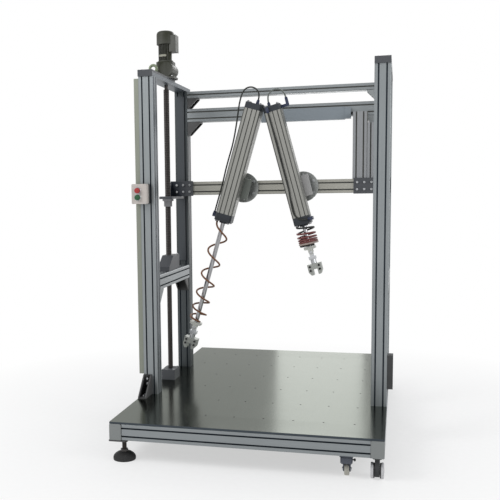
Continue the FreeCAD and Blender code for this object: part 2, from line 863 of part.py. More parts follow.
def make_crosshead():
    """The moving beam, its guide blocks, bolted plates, lift nut and uprights."""
    gap = dim("beam_end_gap")
    beam = extrusion("Crosshead", frame_width - gap * 2)
    keep(place(beam, left + gap, beam_y, beam_level, ALONG_X), "crosshead_beam")

    rail_half = dim("guide_rail_width") / 2
    clear = dim("guide_clearance")
    block_half = dim("guide_block_width") / 2
    tall = dim("guide_rail_height")
    high = dim("guide_height")
    inner = rail_half + clear
    blocks = []
    for x in (left_post_x, right_post_x):
        block = new_body("GuideBlock")
        section = new_sketch(block, "XY_Plane", "Section")
        add_polygon(section, [
            (-block_half, -high), (block_half, -high), (block_half, -4), (inner, -4),
            (inner, -tall - clear), (-inner, -tall - clear), (-inner, -4), (-block_half, -4)])
        pad(block, section, dim("guide_block_length"))
        blocks.append(place(block, x, back_post_y - half,
                            beam_level - dim("guide_block_length") / 2))
    keep(group("GuideBlocks", *blocks), "guide_blocks")

    left_end = left + dim("left_plate_width")
    face = box("LeftPlateFace", left, left_end, plate_front, beam_front, plate_bottom, plate_top)
    nut_plate = dim("nut_plate_thickness")
    shelf = box("NutShelf", left, left + profile, -dim("nut_shelf_reach"), beam_front,
                plate_bottom - nut_plate, plate_bottom)
    rib = new_body("ShelfRib")
    outline = new_sketch(rib, "YZ_Plane", "Outline")
    add_polygon(outline, [(plate_front + 1, plate_bottom - 1), (plate_front + 1, plate_top - 6),
                          (plate_front - 90, plate_bottom - 1)])
    pad(rib, outline, as_size(10))
    place(rib, left, 0, 0)
    hole = cylinder("ShelfHole", dim("screw_radius") + 2, nut_plate + 2, screw_x, 0,
                    plate_bottom - nut_plate - 1)
    keep(subtract("LeftPlate", fuse("LeftPlateWhole", face, shelf, rib), hole),
         "left_crosshead_plate")
    right_start = right - dim("right_plate_width")
    keep(box("RightPlate", right_start, right_start + dim("right_plate_length"), plate_front,
             beam_front, plate_bottom, plate_top), "right_crosshead_plate")

    nut = new_body("LiftNut")
    bore = dim("screw_radius") + dim("running_gap")
    flange = dim("nut_flange_radius")
    flange_low = -dim("nut_flange_height")
    nut_radius = dim("nut_body_radius")
    nut_low = -dim("nut_length")
    lower = new_sketch(nut, "XY_Plane", "NutBody", nut_low)
    add_polygon(lower, octagon(0, 0, nut_radius))
    pad(nut, lower, -nut_low)
    upper = new_sketch(nut, "XY_Plane", "Flange", flange_low)
    add_polygon(upper, octagon(0, 0, flange))
    pad(nut, upper, -flange_low)
    thread = new_sketch(nut, "XY_Plane", "Thread")
    add_circle(thread, 0, 0, bore)
    pocket(nut, thread, both_ways=True)
    keep(place(nut, screw_x, 0, plate_bottom - nut_plate), "lift_nut")

    bolts = []
    pitch = dim("bolt_pitch")
    radius = dim("bolt_radius")
    for start in (left + half, right_start + pitch / 2):
        for column in range(3):
            for row in (-1, 1):
                head = new_body("PlateBolt")
                outline = new_sketch(head, "XZ_Plane", "Head")
                add_polygon(outline, octagon(0, 0, radius))
                pad(head, outline, dim("bolt_head"))
                bolts.append(place(head, start + pitch * column, plate_front,
                                   beam_level + pitch / 2 * row))
    keep(group("PlateBolts", *bolts), "crosshead_bolts")

    upright_x = right - dim("upright_offset")
    stand = beam_level + half
    upright = place(extrusion("Upright", dim("upright_height")), upright_x, beam_y, stand)
    side_width = dim("side_upright_width")
    side_bar = extrusion("SideUpright", dim("side_upright_height"), side_width, profile)
    place(side_bar, upright_x + half + side_width / 2, beam_y, stand)
    keep(group("Uprights", upright, side_bar), "crosshead_uprights")


def make_pivots():
    """A flanged pivot pin on the beam for each cylinder."""
    flange = dim("flange_radius")
    thickness = dim("flange_thickness")
    hub = dim("hub_radius")
    pin = dim("pivot_pin_radius")
    hub_end = beam_front - clamp_back - dim("hub_gap")
    pin_end = beam_front - clamp_back + dim("clamp_thickness") - 1
    pins = []
    for x in (left_pivot_x, right_pivot_x):
        body = new_body("Pivot")
        revolve(body, [(0, 0), (flange, 0), (flange, thickness), (hub, thickness),
                       (hub, hub_end), (pin, hub_end), (pin, pin_end), (0, pin_end)])
        pins.append(place(body, x, beam_front, beam_level, FreeCAD.Rotation(X_AXIS, 90)))
    keep(group("Pivots", *pins), "pivot_flanges")


def tilted(obj, x, y, z, pivot_x, angle):
    """Puts a piece of a cylinder at local x, y, z beside its tilted pivot."""
    rotation = FreeCAD.Rotation(Y_AXIS, angle.value)
    x, y, z = as_size(x), as_size(y), as_size(z)
    spot = rotation.multVec(FreeCAD.Vector(x.value, y.value, z.value))
    obj.Placement = FreeCAD.Placement(
        spot + FreeCAD.Vector(pivot_x.value, cylinder_y.value, beam_level.value), rotation)
    turn = f"({angle.formula} * 1 deg)"
    tie(obj, "Placement.Base.x",
        pivot_x + x * Size(0, f"cos{turn}") + z * Size(0, f"sin{turn}"))
    tie(obj, "Placement.Base.y", cylinder_y + y)
    tie(obj, "Placement.Base.z",
        beam_level + z * Size(0, f"cos{turn}") - x * Size(0, f"sin{turn}"))
    return obj


def make_cylinder(side, pivot_x, angle, extension):
    """One swinging cylinder with its rod, clevis, swivel and jaw."""
    axis = -dim("pivot_offset")
    wide = dim("cylinder_side")
    w = wide / 2
    below = dim("barrel_below_pivot")
    above = dim("barrel_above_pivot")
    front_cap = dim("front_cap_length")
    rear_cap = dim("rear_cap_length")
    bore = dim("cylinder_bore_radius")
    radius = dim("rod_radius")
    rod_hole = radius + dim("running_gap")
    collar_length = dim("collar_length")

    barrel = new_body(f"Barrel{side}")
    section = new_sketch(barrel, "XY_Plane", "Section")
    add_polygon(section, cut_corners(wide, wide, as_size(7)))
    pad(barrel, section, above + below - front_cap - rear_cap)
    grooves = new_sketch(barrel, "XY_Plane", "Grooves")
    deep = w - dim("barrel_groove_depth")
    groove = dim("barrel_groove_width") / 2
    for shift in (-wide * 0.27, as_size(0), wide * 0.27):
        for sign in (-1, 1):
            near = deep * sign
            edge = w * sign
            add_polygon(grooves, rectangle(shift - groove, shift + groove, near, edge))
            add_polygon(grooves, rectangle(near, edge, shift - groove, shift + groove))
    add_circle(grooves, 0, 0, bore)
    pocket(barrel, grooves)
    keep(tilted(barrel, axis, 0, front_cap - below, pivot_x, angle), f"{side}_barrel")

    cap = new_body(f"FrontCap{side}")
    face = new_sketch(cap, "XY_Plane", "Face")
    add_polygon(face, cut_corners(wide, wide, as_size(10)))
    add_circle(face, 0, 0, rod_hole)
    pad(cap, face, front_cap)
    collar = new_sketch(cap, "XY_Plane", "Collar", -collar_length)
    add_circle(collar, 0, 0, dim("collar_radius"))
    add_circle(collar, 0, 0, rod_hole)
    pad(cap, collar, collar_length)
    tilted(cap, axis, 0, -below, pivot_x, angle)

    fit = dim("fitting_width") / 2
    fit_tall = dim("fitting_height")
    hose = dim("hose_radius")
    front_hose = -w - dim("hose_gap") - hose
    port_low = -below + front_cap / 2 - fit_tall / 2
    port_high = port_low + fit_tall
    left_face = axis - w
    right_face = axis + w
    rear_top = above + dim("fitting_stub")
    arch = dim("hose_arch_run")
    slant = arch * math.sqrt(0.5)
    crown = rear_top + arch + slant
    rear_low = above - rear_cap
    if side == "left":
        arch_start = axis + 11
        down = arch_start - arch - slant * 2
        drop = rear_top - port_high
        port_x = left_face - dim("fitting_width")
        route = [(arch_start, 0, rear_top), (arch_start, 0, rear_top + arch),
                 (arch_start - slant, 0, crown), (down + slant, 0, crown),
                 (down, 0, rear_top + arch), (down - 0.6, -3, rear_top - 35),
                 (left_face - 26, -12, port_high + drop * 0.81),
                 (left_face - 12, -18, port_high + drop * 0.615),
                 (left_face - 15, -20, port_high + drop * 0.425),
                 (left_face - 11, -14, port_high + drop * 0.237),
                 (port_x, 0, port_high + drop * 0.101), (port_x, 0, port_high)]
        hoses = [("left_air_hose", route)]
        ports = [(port_x - fit, left_face + 1, -fit, fit, port_low, port_high)]
        studs = [(arch_start - fit, arch_start + fit, -fit, fit, above - 1, rear_top)]
    else:
        arch_start = axis - 15
        down = arch_start + arch + slant * 2
        over = axis - 25
        start_low = above - rear_cap + 8
        low_z = port_low + fit_tall / 2
        drop = start_low - low_z
        sweep = dim("hose_arch_run") + 5
        bend_x = right_face - 1 - sweep
        sweep_slant = (sweep + 1) * math.sqrt(0.5)
        route = [(over, front_hose, start_low), (over, front_hose, start_low - drop / 8),
                 (over + 5, front_hose, start_low - drop * 0.28),
                 (over + 2, front_hose - 0.5, start_low - drop * 0.47),
                 (over + 4, front_hose, start_low - drop * 0.67),
                 (bend_x - sweep_slant + 1, front_hose, start_low - drop * 0.84),
                 (bend_x - sweep_slant, front_hose, low_z + sweep_slant),
                 (bend_x, front_hose, low_z), (right_face - 1, front_hose, low_z)]
        loop = [(arch_start, 0, rear_top), (arch_start, 0, rear_top + arch),
                (arch_start + slant, 0, crown), (down - slant, 0, crown),
                (down, 0, rear_top + arch), (down, 0, rear_top)]
        hoses = [("right_air_hose", route), ("right_top_hose", loop)]
        ports = [(right_face - 1, right_face + fit * 2, front_hose - fit, -fit, port_low,
                  port_high)]
        studs = [(arch_start - fit, arch_start + fit, -fit, fit, above - 1, rear_top),
                 (over - fit, over + fit, front_hose - fit, 1 - w, start_low, above - 6),
                 (right_face - 1, down - fit, -fit, fit, rear_low + 8, rear_low + 24),
                 (down - fit, down + fit, -fit, fit, rear_low + 8, rear_top)]
    for name, points in hoses:
        keep(tilted(tube(name, points, hose), 0, 0, 0, pivot_x, angle), name)

    def fittings(limits):
        """Hose fittings between local limits."""
        return [tilted(box(f"Fitting{side}", *span), span[0], span[2], span[4], pivot_x, angle)
                for span in limits]

    cap = fuse(f"FrontCapWhole{side}", cap, *fittings(ports))
    rear = new_body(f"RearCap{side}")
    face = new_sketch(rear, "XY_Plane", "Face")
    add_polygon(face, cut_corners(wide, wide, as_size(10)))
    pad(rear, face, rear_cap)
    tilted(rear, axis, 0, above - rear_cap, pivot_x, angle)
    rear = fuse(f"RearCapWhole{side}", rear, *fittings(studs))
    keep(group(f"Caps{side}", cap, rear), f"{side}_cylinder_caps")

    clamp = new_body(f"Clamp{side}")
    plate = new_sketch(clamp, "XZ_Plane", "Plate")
    tall = dim("clamp_height") / 2
    reach = dim("hub_radius") + 14
    add_polygon(plate, rectangle(axis - w, reach, -tall, tall))
    add_circle(plate, 0, 0, dim("pivot_pin_radius") + dim("running_gap"))
    pad(clamp, plate, dim("clamp_thickness"), reverse=True)
    keep(tilted(clamp, 0, w, 0, pivot_x, angle), f"{side}_clamp_plate")

    rod_end = -below - dim("rod_exposed") - extension
    piston = bore - dim("piston_gap")
    piston_top = above - rear_cap - dim("piston_end_gap") - extension
    piston_low = piston_top - dim("piston_length")
    rod = new_body(f"Rod{side}")
    revolve(rod, [(0, rod_end), (radius, rod_end), (radius, piston_low), (piston, piston_low),
                  (piston, piston_top), (0, piston_top)])
    keep(tilted(rod, axis, 0, 0, pivot_x, angle), f"{side}_piston_rod")

    clevis_wide = dim("clevis_width") / 2
    clevis_long = dim("clevis_length")
    cheek = dim("clevis_cheek_width") / 2
    pin_drop = clevis_long - cheek
    depth = dim("clevis_depth")
    gap = dim("clevis_gap")
    crown = dim("clevis_crown")
    clevis = new_body(f"Clevis{side}")
    shape = new_sketch(clevis, "XZ_Plane", "Side")
    add_polygon(shape, [
        (-clevis_wide, 0), (clevis_wide, 0), (clevis_wide, -crown), (cheek, -crown - 4),
        (cheek, -pin_drop), (cheek / 2, -clevis_long), (-cheek / 2, -clevis_long),
        (-cheek, -pin_drop), (-cheek, -crown - 4), (-clevis_wide, -crown)])
    pad(clevis, shape, depth, both_ways=True)
    fork = new_sketch(clevis, "YZ_Plane", "Fork")
    add_polygon(fork, rectangle(-gap / 2, gap / 2, -clevis_long - 1, -crown))
    pocket(clevis, fork, both_ways=True)
    pin = new_sketch(clevis, "XZ_Plane", "Pin")
    add_circle(pin, 0, -pin_drop, dim("clevis_pin_radius"))
    pad(clevis, pin, depth, both_ways=True)
    keep(tilted(clevis, axis, 0, rod_end, pivot_x, angle), f"{side}_rod_clevis")

    swivel_long = dim("swivel_length")
    pin_level = rod_end - pin_drop
    tongue = new_body(f"Swivel{side}")
    shape = new_sketch(tongue, "XZ_Plane", "Tongue")
    eye = dim("swivel_eye_radius")
    body_top = -eye - 10
    add_polygon(shape, [(-eye, body_top), (eye, body_top), (eye, 0), (eye * 0.7, eye * 0.7),
                        (0, eye), (-eye * 0.7, eye * 0.7), (-eye, 0)])
    add_circle(shape, 0, 0, dim("clevis_pin_radius") + dim("running_gap"))
    pad(tongue, shape, gap - dim("running_gap") * 4, both_ways=True)
    neck = new_sketch(tongue, "XY_Plane", "Neck", body_top - swivel_long)
    add_polygon(neck, regular(0, 0, dim("swivel_neck_radius"), 16))
    pad(tongue, neck, swivel_long)
    collar = new_sketch(tongue, "XY_Plane", "Collar", body_top - swivel_long * 0.45)
    add_polygon(collar, centred(dim("swivel_collar"), dim("swivel_collar")))
    pad(tongue, collar, swivel_long * 0.45)
    keep(tilted(tongue, axis, 0, pin_level, pivot_x, angle), f"{side}_swivel")

    jaw_wide = dim("jaw_width") / 2
    jaw_long = dim("jaw_length")
    slot = dim("jaw_slot") / 2
    shoulder = as_size(12)
    jaw = new_body(f"Jaw{side}")
    shape = new_sketch(jaw, "XZ_Plane", "Side")
    add_polygon(shape, [
        (-jaw_wide, 0), (jaw_wide, 0), (jaw_wide, -jaw_long * 0.7),
        (jaw_wide - shoulder, -jaw_long), (slot, -jaw_long), (slot, -jaw_long * 0.5),
        (-slot, -jaw_long * 0.5), (-slot, -jaw_long), (shoulder - jaw_wide, -jaw_long),
        (-jaw_wide, -jaw_long * 0.7)])
    pad(jaw, shape, dim("jaw_depth"), both_ways=True)
    keep(tilted(jaw, axis, 0, pin_level + body_top - swivel_long, pivot_x, angle),
         f"{side}_grip_jaw")

    coil_top = -below - dim("coil_end_gap")
    coil_low = rod_end + dim("coil_end_gap")
    outer = dim("coil_radius")
    inner = dim("coil_inner_radius")
    coil = new_body(f"Coil{side}")
    sleeve = new_sketch(coil, "XY_Plane", "Sleeve", coil_low)
    add_polygon(sleeve, regular(0, 0, outer, 24))
    add_polygon(sleeve, regular(0, 0, inner, 24))
    pad(coil, sleeve, coil_top - coil_low)
    keep(tilted(coil, axis, 0, 0, pivot_x, angle), f"{side}_spiral_hose")


def make_controls():
    """The push-button station on the front left post, the trunking and the wiring boxes."""
    box_x = left + dim("box_inset")
    wide = dim("box_width")
    tall = dim("box_height")
    level = deck + dim("box_level")
    base_depth = dim("box_base_depth")
    cover_depth = dim("box_cover_depth")
    base = new_body("BoxBase")
    face = new_sketch(base, "XZ_Plane", "Face")
    add_polygon(face, cut_corners(wide, tall, as_size(4)))
    pad(base, face, base_depth)
    keep(place(base, box_x, tower_front, level), "control_box_base")
    cover = new_body("BoxCover")
    face = new_sketch(cover, "XZ_Plane", "Face")
    add_polygon(face, cut_corners(wide, tall, as_size(4)))
    pad(cover, face, cover_depth)
    cover_back = tower_front - base_depth
    cover_front = cover_back - cover_depth
    place(cover, box_x, cover_back, level)
    radius = dim("button_radius")
    travel = dim("button_travel")
    stem = dim("button_stem_radius")
    stem_long = cover_depth - travel * 2
    button_x = box_x - dim("button_offset")
    spacing = dim("button_spacing") / 2
    spots = (("stop_button", level + spacing), ("start_button", level - spacing))
    wells = [cylinder("ButtonWell", stem + dim("running_gap"), cover_depth - 2, button_x,
                      cover_front - 1, z, ALONG_Y) for name, z in spots]
    keep(subtract("CoverBored", cover, *wells), "control_box_cover")
    for name, z in spots:
        button = new_body(name)
        lift = travel + 1
        shaft = new_sketch(button, "XY_Plane", "Stem", -stem_long)
        add_circle(shaft, 0, 0, stem)
        pad(button, shaft, stem_long + lift)
        head = new_sketch(button, "XY_Plane", "Head", lift)
        add_polygon(head, regular(0, 0, radius, 24))
        pad(button, head, dim("button_head"))
        keep(place(button, button_x, cover_front, z, FreeCAD.Rotation(X_AXIS, 90)), name)

    trunk_side = dim("trunk_width")
    trunk = box("Trunk", left - trunk_side, left, tower_front + 4, tower_front + half,
                deck + dim("trunk_start"), post_top - 10)

    side_box = box("SideBox", right, right + dim("junction_box_depth"), tower_front,
                   tower_front + dim("side_box_width"), deck + dim("side_box_start"),
                   deck + dim("side_box_start") + dim("side_box_height"))
    duct_depth = dim("duct_depth")
    duct_back = back_post_y - half
    duct_low = post_top - dim("lower_beam_drop") - half - dim("duct_height") * 0.85
    duct_start = left + dim("duct_offset")
    duct_end = duct_start + dim("duct_length")
    duct = box("Duct", duct_start, duct_end, duct_back - duct_depth, duct_back, duct_low,
               duct_low + dim("duct_height"))
    keep(group("Ducts", trunk, duct), "cable_ducts")
    end_box = box("DuctBox", duct_end, duct_end + dim("duct_box_length"),
                  duct_back - duct_depth - 4, duct_back, duct_low + 4,
                  duct_low + dim("duct_height") - 4)
    post_face = right - profile
    cable_x = post_face - 10
    cable_y = duct_back - 10
    gland_top = beam_level + dim("gland_height") / 2
    gland = box("Gland", cable_x - 10, post_face, cable_y - 10, duct_back + 25,
                gland_top - dim("gland_height"), gland_top)
    keep(group("JunctionBoxes", side_box, end_box, gland), "junction_boxes")

    cable = dim("cable_radius")
    box_end = duct_end + dim("duct_box_length")
    span = cable_x - box_end
    exit_y = duct_back - duct_depth / 2 - 1
    exit_z = duct_low + dim("duct_height") / 2
    route = [(box_end, exit_y, exit_z), (box_end + span * 0.24, exit_y, exit_z),
             (box_end + span * 0.49, exit_y + 2, exit_z - 17),
             (box_end + span * 0.715, exit_y + 4, exit_z - 50),
             (box_end + span * 0.88, exit_y + 6, exit_z - 86),
             (box_end + span * 0.97, exit_y + 8, exit_z - 128),
             (cable_x, cable_y, exit_z - 180), (cable_x - 2, cable_y - 1, exit_z - 270),
             (cable_x, cable_y, gland_top + 70), (cable_x, cable_y, gland_top)]
    keep(tube("post_cable", route, cable), "post_cable")


def make_supports():
    """Levelling feet on the left corners and casters on the right side."""
    clearance = dim("foot_clearance")
    pad_radius = dim("foot_pad_radius")
    inset = dim("foot_inset")
    feet = []
    for y in (front + inset, back - inset):
        foot = new_body("Foot")
        nut_low = clearance - 22
        revolve(foot, [(0, 0), (pad_radius, 0), (pad_radius, 12), (20, 30),
                       (11, 30), (11, clearance), (0, clearance)])
        nut = new_sketch(foot, "XY_Plane", "Nut", nut_low)
        add_polygon(nut, octagon(0, 0, as_size(19)))
        pad(foot, nut, clearance - nut_low)
        feet.append(place(foot, left + inset, y, 0))
    keep(group("Feet", *feet), "levelling_feet")

    axle = dim("axle_radius")
    axle_hole = axle + dim("running_gap")
    hood_half = dim("corner_hood_width") / 2
    wheel_radius = dim("corner_wheel_radius")
    span = dim("corner_wheel_span") / 2
    corner_inset = dim("corner_caster_inset")
    trail = dim("corner_caster_trail")
    for row, y, sign in (("front", front + half, 1), ("back", back - half, -1)):
        fork = new_body(f"CornerFork{row}")
        side = new_sketch(fork, "YZ_Plane", "Hood")
        reach = trail * sign
        add_polygon(side, [
            (reach - wheel_radius * 0.6, wheel_radius * 0.35),
            (reach + wheel_radius * 0.6, wheel_radius * 0.35),
            (reach + wheel_radius * 0.7, wheel_radius * 1.5), (reach / 2 + 12, clearance - 26),
            (reach / 2 + 12, clearance - 12), (reach / 2 - 12, clearance - 12),
            (reach / 2 - 12, clearance - 26), (reach - wheel_radius * 0.7, wheel_radius * 1.5)])
        add_circle(side, reach, wheel_radius, axle_hole)
        pad(fork, side, hood_half * 2, both_ways=True)
        head = new_sketch(fork, "XY_Plane", "Head", clearance - 12)
        add_polygon(head, octagon(0, 0, as_size(24)))
        pad(fork, head, as_size(12))
        keep(place(fork, right - corner_inset, y, 0), f"{row}_corner_caster_fork")
        wheel = new_body(f"CornerWheel{row}")
        inner = hood_half + dim("wheel_side_gap")
        for part, start, size, long in (("NearDisc", -span, wheel_radius, span - inner),
                                        ("Shaft", -span, axle, span * 2),
                                        ("FarDisc", inner, wheel_radius, span - inner)):
            disc = new_sketch(wheel, "XY_Plane", part, start)
            add_circle(disc, 0, 0, size)
            pad(wheel, disc, long)
        keep(place(wheel, right - corner_inset, y + reach, wheel_radius, ALONG_X),
             f"{row}_corner_caster_wheel")

    wheel_radius = dim("inner_wheel_radius")
    wheel_half = dim("inner_wheel_width") / 2
    arm_in = wheel_half + dim("wheel_side_gap")
    arm_out = arm_in + 5
    inner_inset = dim("inner_caster_inset")
    trail = dim("inner_caster_trail")
    crown = clearance - 30
    for row, y, sign in (("front", front + half, 1), ("back", back - half, -1)):
        reach = trail * sign
        fork = new_body(f"InnerFork{row}")
        bridge = new_sketch(fork, "XZ_Plane", "Crown")
        add_polygon(bridge, rectangle(-arm_out, arm_out, crown, clearance - 8))
        pad(fork, bridge, as_size(44), both_ways=True)
        arms = new_sketch(fork, "YZ_Plane", "Arms")
        add_polygon(arms, [(reach - 10, wheel_radius - 10), (reach + 10, wheel_radius - 10),
                           (reach + 14, wheel_radius + 10), (22, crown + 8),
                           (-22, crown + 8), (reach - 14, wheel_radius + 10)])
        pad(fork, arms, arm_out * 2, both_ways=True)
        gap = new_sketch(fork, "XZ_Plane", "WheelGap")
        add_polygon(gap, rectangle(-arm_in, arm_in, 0, crown))
        pocket(fork, gap, both_ways=True)
        pin = new_sketch(fork, "YZ_Plane", "Axle")
        add_circle(pin, reach, wheel_radius, axle)
        pad(fork, pin, arm_out * 2, both_ways=True)
        head = new_sketch(fork, "XY_Plane", "Head", clearance - 8)
        add_polygon(head, centred(as_size(60), as_size(60)))
        pad(fork, head, as_size(8))
        keep(place(fork, right - inner_inset, y, 0), f"{row}_inner_caster_fork")
        wheel = new_body(f"InnerWheel{row}")
        revolve(wheel, [(axle_hole, -wheel_half), (wheel_radius, -wheel_half),
                        (wheel_radius, wheel_half), (axle_hole, wheel_half)])
        keep(place(wheel, right - inner_inset, y + reach, wheel_radius, ALONG_X),
             f"{row}_inner_caster_wheel")


make_base()
make_table()
make_posts()
make_beams()
make_tower_caps()
make_motor()
make_lift_screw()
make_crosshead()
make_pivots()
make_cylinder("left", left_pivot_x, dim("left_tilt"), dim("stroke"))
make_cylinder("right", right_pivot_x, -dim("right_tilt"), as_size(0))
make_controls()
make_supports()
doc.recompute()

for item in doc.Objects:
    if "Invalid" in item.State or "Error" in item.State:
        raise RuntimeError(f"{item.Label}: {item.State}")
for node in nodes:
    if node.Shape.isNull() or not node.Shape.isValid():
        raise RuntimeError(f"{node.Label}: no valid shape")
os.makedirs("parts", exist_ok=True)
for node in nodes:
    node.Shape.exportStep(f"parts/{node.Label}.step")
print(len(nodes), "sub-parts written")
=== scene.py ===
import math

import bmesh
import bpy
from mathutils import Matrix, Vector


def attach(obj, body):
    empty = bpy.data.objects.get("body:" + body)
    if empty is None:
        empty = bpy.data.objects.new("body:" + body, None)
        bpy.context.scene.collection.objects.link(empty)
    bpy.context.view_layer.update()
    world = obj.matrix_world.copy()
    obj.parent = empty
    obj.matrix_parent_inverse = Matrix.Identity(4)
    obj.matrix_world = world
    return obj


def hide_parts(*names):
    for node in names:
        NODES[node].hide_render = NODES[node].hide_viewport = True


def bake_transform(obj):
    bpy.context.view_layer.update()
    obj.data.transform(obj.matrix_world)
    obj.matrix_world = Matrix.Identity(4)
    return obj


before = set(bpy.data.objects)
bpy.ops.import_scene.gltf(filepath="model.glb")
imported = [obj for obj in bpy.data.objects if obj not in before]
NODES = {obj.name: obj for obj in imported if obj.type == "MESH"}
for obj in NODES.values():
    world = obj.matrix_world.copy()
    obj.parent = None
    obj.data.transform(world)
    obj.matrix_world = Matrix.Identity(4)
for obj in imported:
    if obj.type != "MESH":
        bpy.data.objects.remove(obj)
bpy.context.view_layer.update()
MATERIALS = {}
SIDES = ("left", "right")
ROWS = ("front", "back")

# The colour sockets of a mix node
MIX_COLORS = slice(6, 8)
MIX_RESULT = 2


class Shader:
    """A node tree under construction, with short calls for the nodes used here."""

    def __init__(self, name):
        self.material = bpy.data.materials.new(name)
        self.material.use_nodes = True
        self.tree = self.material.node_tree
        self.tree.nodes.clear()
        self.output = self.tree.nodes.new("ShaderNodeOutputMaterial")
        self.surface = self.tree.nodes.new("ShaderNodeBsdfPrincipled")
        self.join(self.surface.outputs["BSDF"], self.output.inputs["Surface"])

    def join(self, source, target):
        """Links an output to an input."""
        self.tree.links.new(source, target)

    def node(self, kind, **settings):
        """A new node with its settings."""
        made = self.tree.nodes.new(kind)
        for key, value in settings.items():
            setattr(made, key, value)
        return made

    def place(self, scale):
        """Object coordinates in metres, stretched along each axis."""
        where = self.node("ShaderNodeTexCoord")
        mapping = self.node("ShaderNodeMapping")
        mapping.inputs["Scale"].default_value = scale
        self.join(where.outputs["Object"], mapping.inputs["Vector"])
        return mapping.outputs["Vector"]

    def noise(self, scale, detail=4.0, roughness=0.6):
        """Noise from 0 to 1 over stretched object coordinates."""
        made = self.node("ShaderNodeTexNoise")
        made.inputs["Scale"].default_value = 1.0
        made.inputs["Detail"].default_value = detail
        made.inputs["Roughness"].default_value = roughness
        self.join(self.place(scale), made.inputs["Vector"])
        return made.outputs["Fac"]

    def spread(self, value, low, high, out_low, out_high):
        """Carries a range of values over to another range."""
        made = self.node("ShaderNodeMapRange")
        made.inputs["From Min"].default_value = low
        made.inputs["From Max"].default_value = high
        made.inputs["To Min"].default_value = out_low
        made.inputs["To Max"].default_value = out_high
        self.join(value, made.inputs["Value"])
        return made.outputs["Result"]

    def maths(self, operation, first, second):
        """One operation on two values, each a number or an output."""
        made = self.node("ShaderNodeMath", operation=operation)
        for socket, value in zip(made.inputs, (first, second)):
            if isinstance(value, (int, float)):
                socket.default_value = value
            else:
                self.join(value, socket)
        return made.outputs["Value"]

    def mix(self, factor, first, second):
        """Mixes two colours, each a triple or an output."""
        made = self.node("ShaderNodeMix", data_type="RGBA")
        self.join(factor, made.inputs["Factor"])
        for socket, value in zip(made.inputs[MIX_COLORS], (first, second)):
            if isinstance(value, (tuple, list)):
                socket.default_value = (*value, 1)
            else:
                self.join(value, socket)
        return made.outputs[MIX_RESULT]

    def bump(self, height, strength, distance):
        """Small relief in the surface, its depth in metres."""
        made = self.node("ShaderNodeBump")
        made.inputs["Strength"].default_value = strength
        made.inputs["Distance"].default_value = distance
        self.join(height, made.inputs["Height"])
        self.join(made.outputs["Normal"], self.surface.inputs["Normal"])


def shaded(color, share):
    """A colour made darker or lighter."""
    return tuple(min(1.0, part * share) for part in color)


def metal(name, color, roughness, metallic, streak, depth, grime, wear):
    """Metal with drawn streaks, soft blotches and rubbed edges."""
    s = Shader(name)
    streaks = s.noise(streak, 5.0, 0.7)
    blotches = s.noise((7, 7, 7), 3.0, 0.5)
    fine = s.mix(s.spread(streaks, 0.3, 0.7, 0, 1), shaded(color, 0.86), shaded(color, 1.1))
    dirty = s.mix(s.spread(blotches, 0.35, 0.75, 0, grime), fine, shaded(color, 0.62))
    geometry = s.node("ShaderNodeNewGeometry")
    edges = s.spread(geometry.outputs["Pointiness"], 0.52, 0.6, 0, wear)
    worn = s.mix(edges, dirty, shaded(color, 1.55))
    s.join(worn, s.surface.inputs["Base Color"])
    s.surface.inputs["Metallic"].default_value = metallic
    s.join(s.spread(streaks, 0.25, 0.75, roughness * 0.8, roughness * 1.25),
           s.surface.inputs["Roughness"])
    s.bump(streaks, 0.35, depth / 1000)
    MATERIALS[name] = s.material


def paint(name, color, roughness, depth, dust, wear):
    """Paint or plastic with orange-peel grain, dust and paler edges."""
    s = Shader(name)
    peel = s.noise(PAINT_GRAIN, 2.0, 0.5)
    blotches = s.noise((9, 9, 9), 4.0, 0.6)
    base = s.mix(s.spread(blotches, 0.3, 0.7, 0, dust), color,
                 tuple(part * 0.7 + 0.09 for part in color))
    speckled = s.mix(s.spread(peel, 0.4, 0.6, 0, 0.5), base, shaded(color, 0.85))
    geometry = s.node("ShaderNodeNewGeometry")
    edges = s.spread(geometry.outputs["Pointiness"], 0.52, 0.62, 0, wear)
    s.join(s.mix(edges, speckled, tuple(part * 0.5 + 0.3 for part in color)),
           s.surface.inputs["Base Color"])
    s.join(s.spread(blotches, 0.3, 0.7, roughness * 0.85, roughness * 1.2),
           s.surface.inputs["Roughness"])
    s.surface.inputs["Specular IOR Level"].default_value = PAINT_MIRRORING
    s.bump(peel, 0.4, depth / 1000)
    MATERIALS[name] = s.material


def threaded(name, color, pitch, low, high):
    """Dark screw steel, with a thread drawn between two heights."""
    s = Shader(name)
    where = s.node("ShaderNodeTexCoord")
    split = s.node("ShaderNodeSeparateXYZ")
    s.join(where.outputs["Object"], split.inputs["Vector"])
    turn = s.maths("MULTIPLY", split.outputs["Z"], 2 * math.pi / pitch)
    wave = s.maths("SINE", turn, 0.0)
    inside = s.maths("MULTIPLY", s.maths("GREATER_THAN", split.outputs["Z"], low),
                     s.maths("LESS_THAN", split.outputs["Z"], high))
    thread = s.maths("MULTIPLY", wave, inside)
    oil = s.noise((40, 40, 12), 4.0, 0.6)
    base = s.mix(s.spread(oil, 0.3, 0.7, 0, 1), shaded(color, 0.7), shaded(color, 1.3))
    grooved = s.mix(s.spread(thread, -1, 1, 0.0, 0.6), base, shaded(color, 2.4))
    s.join(grooved, s.surface.inputs["Base Color"])
    s.surface.inputs["Metallic"].default_value = 0.8
    s.join(s.spread(oil, 0.3, 0.7, 0.28, 0.5), s.surface.inputs["Roughness"])
    s.bump(thread, 0.8, THREAD_DEPTH)
    MATERIALS[name] = s.material


# Streaks per metre along X, Y and Z
DRAWN_X = (1.2, 300, 300)
DRAWN_Y = (300, 1.2, 300)
DRAWN_Z = (300, 300, 1.2)
MILLED = (200, 200, 200)
CAST = (240, 240, 240)
EXTRUDED = (0.215, 0.232, 0.240)

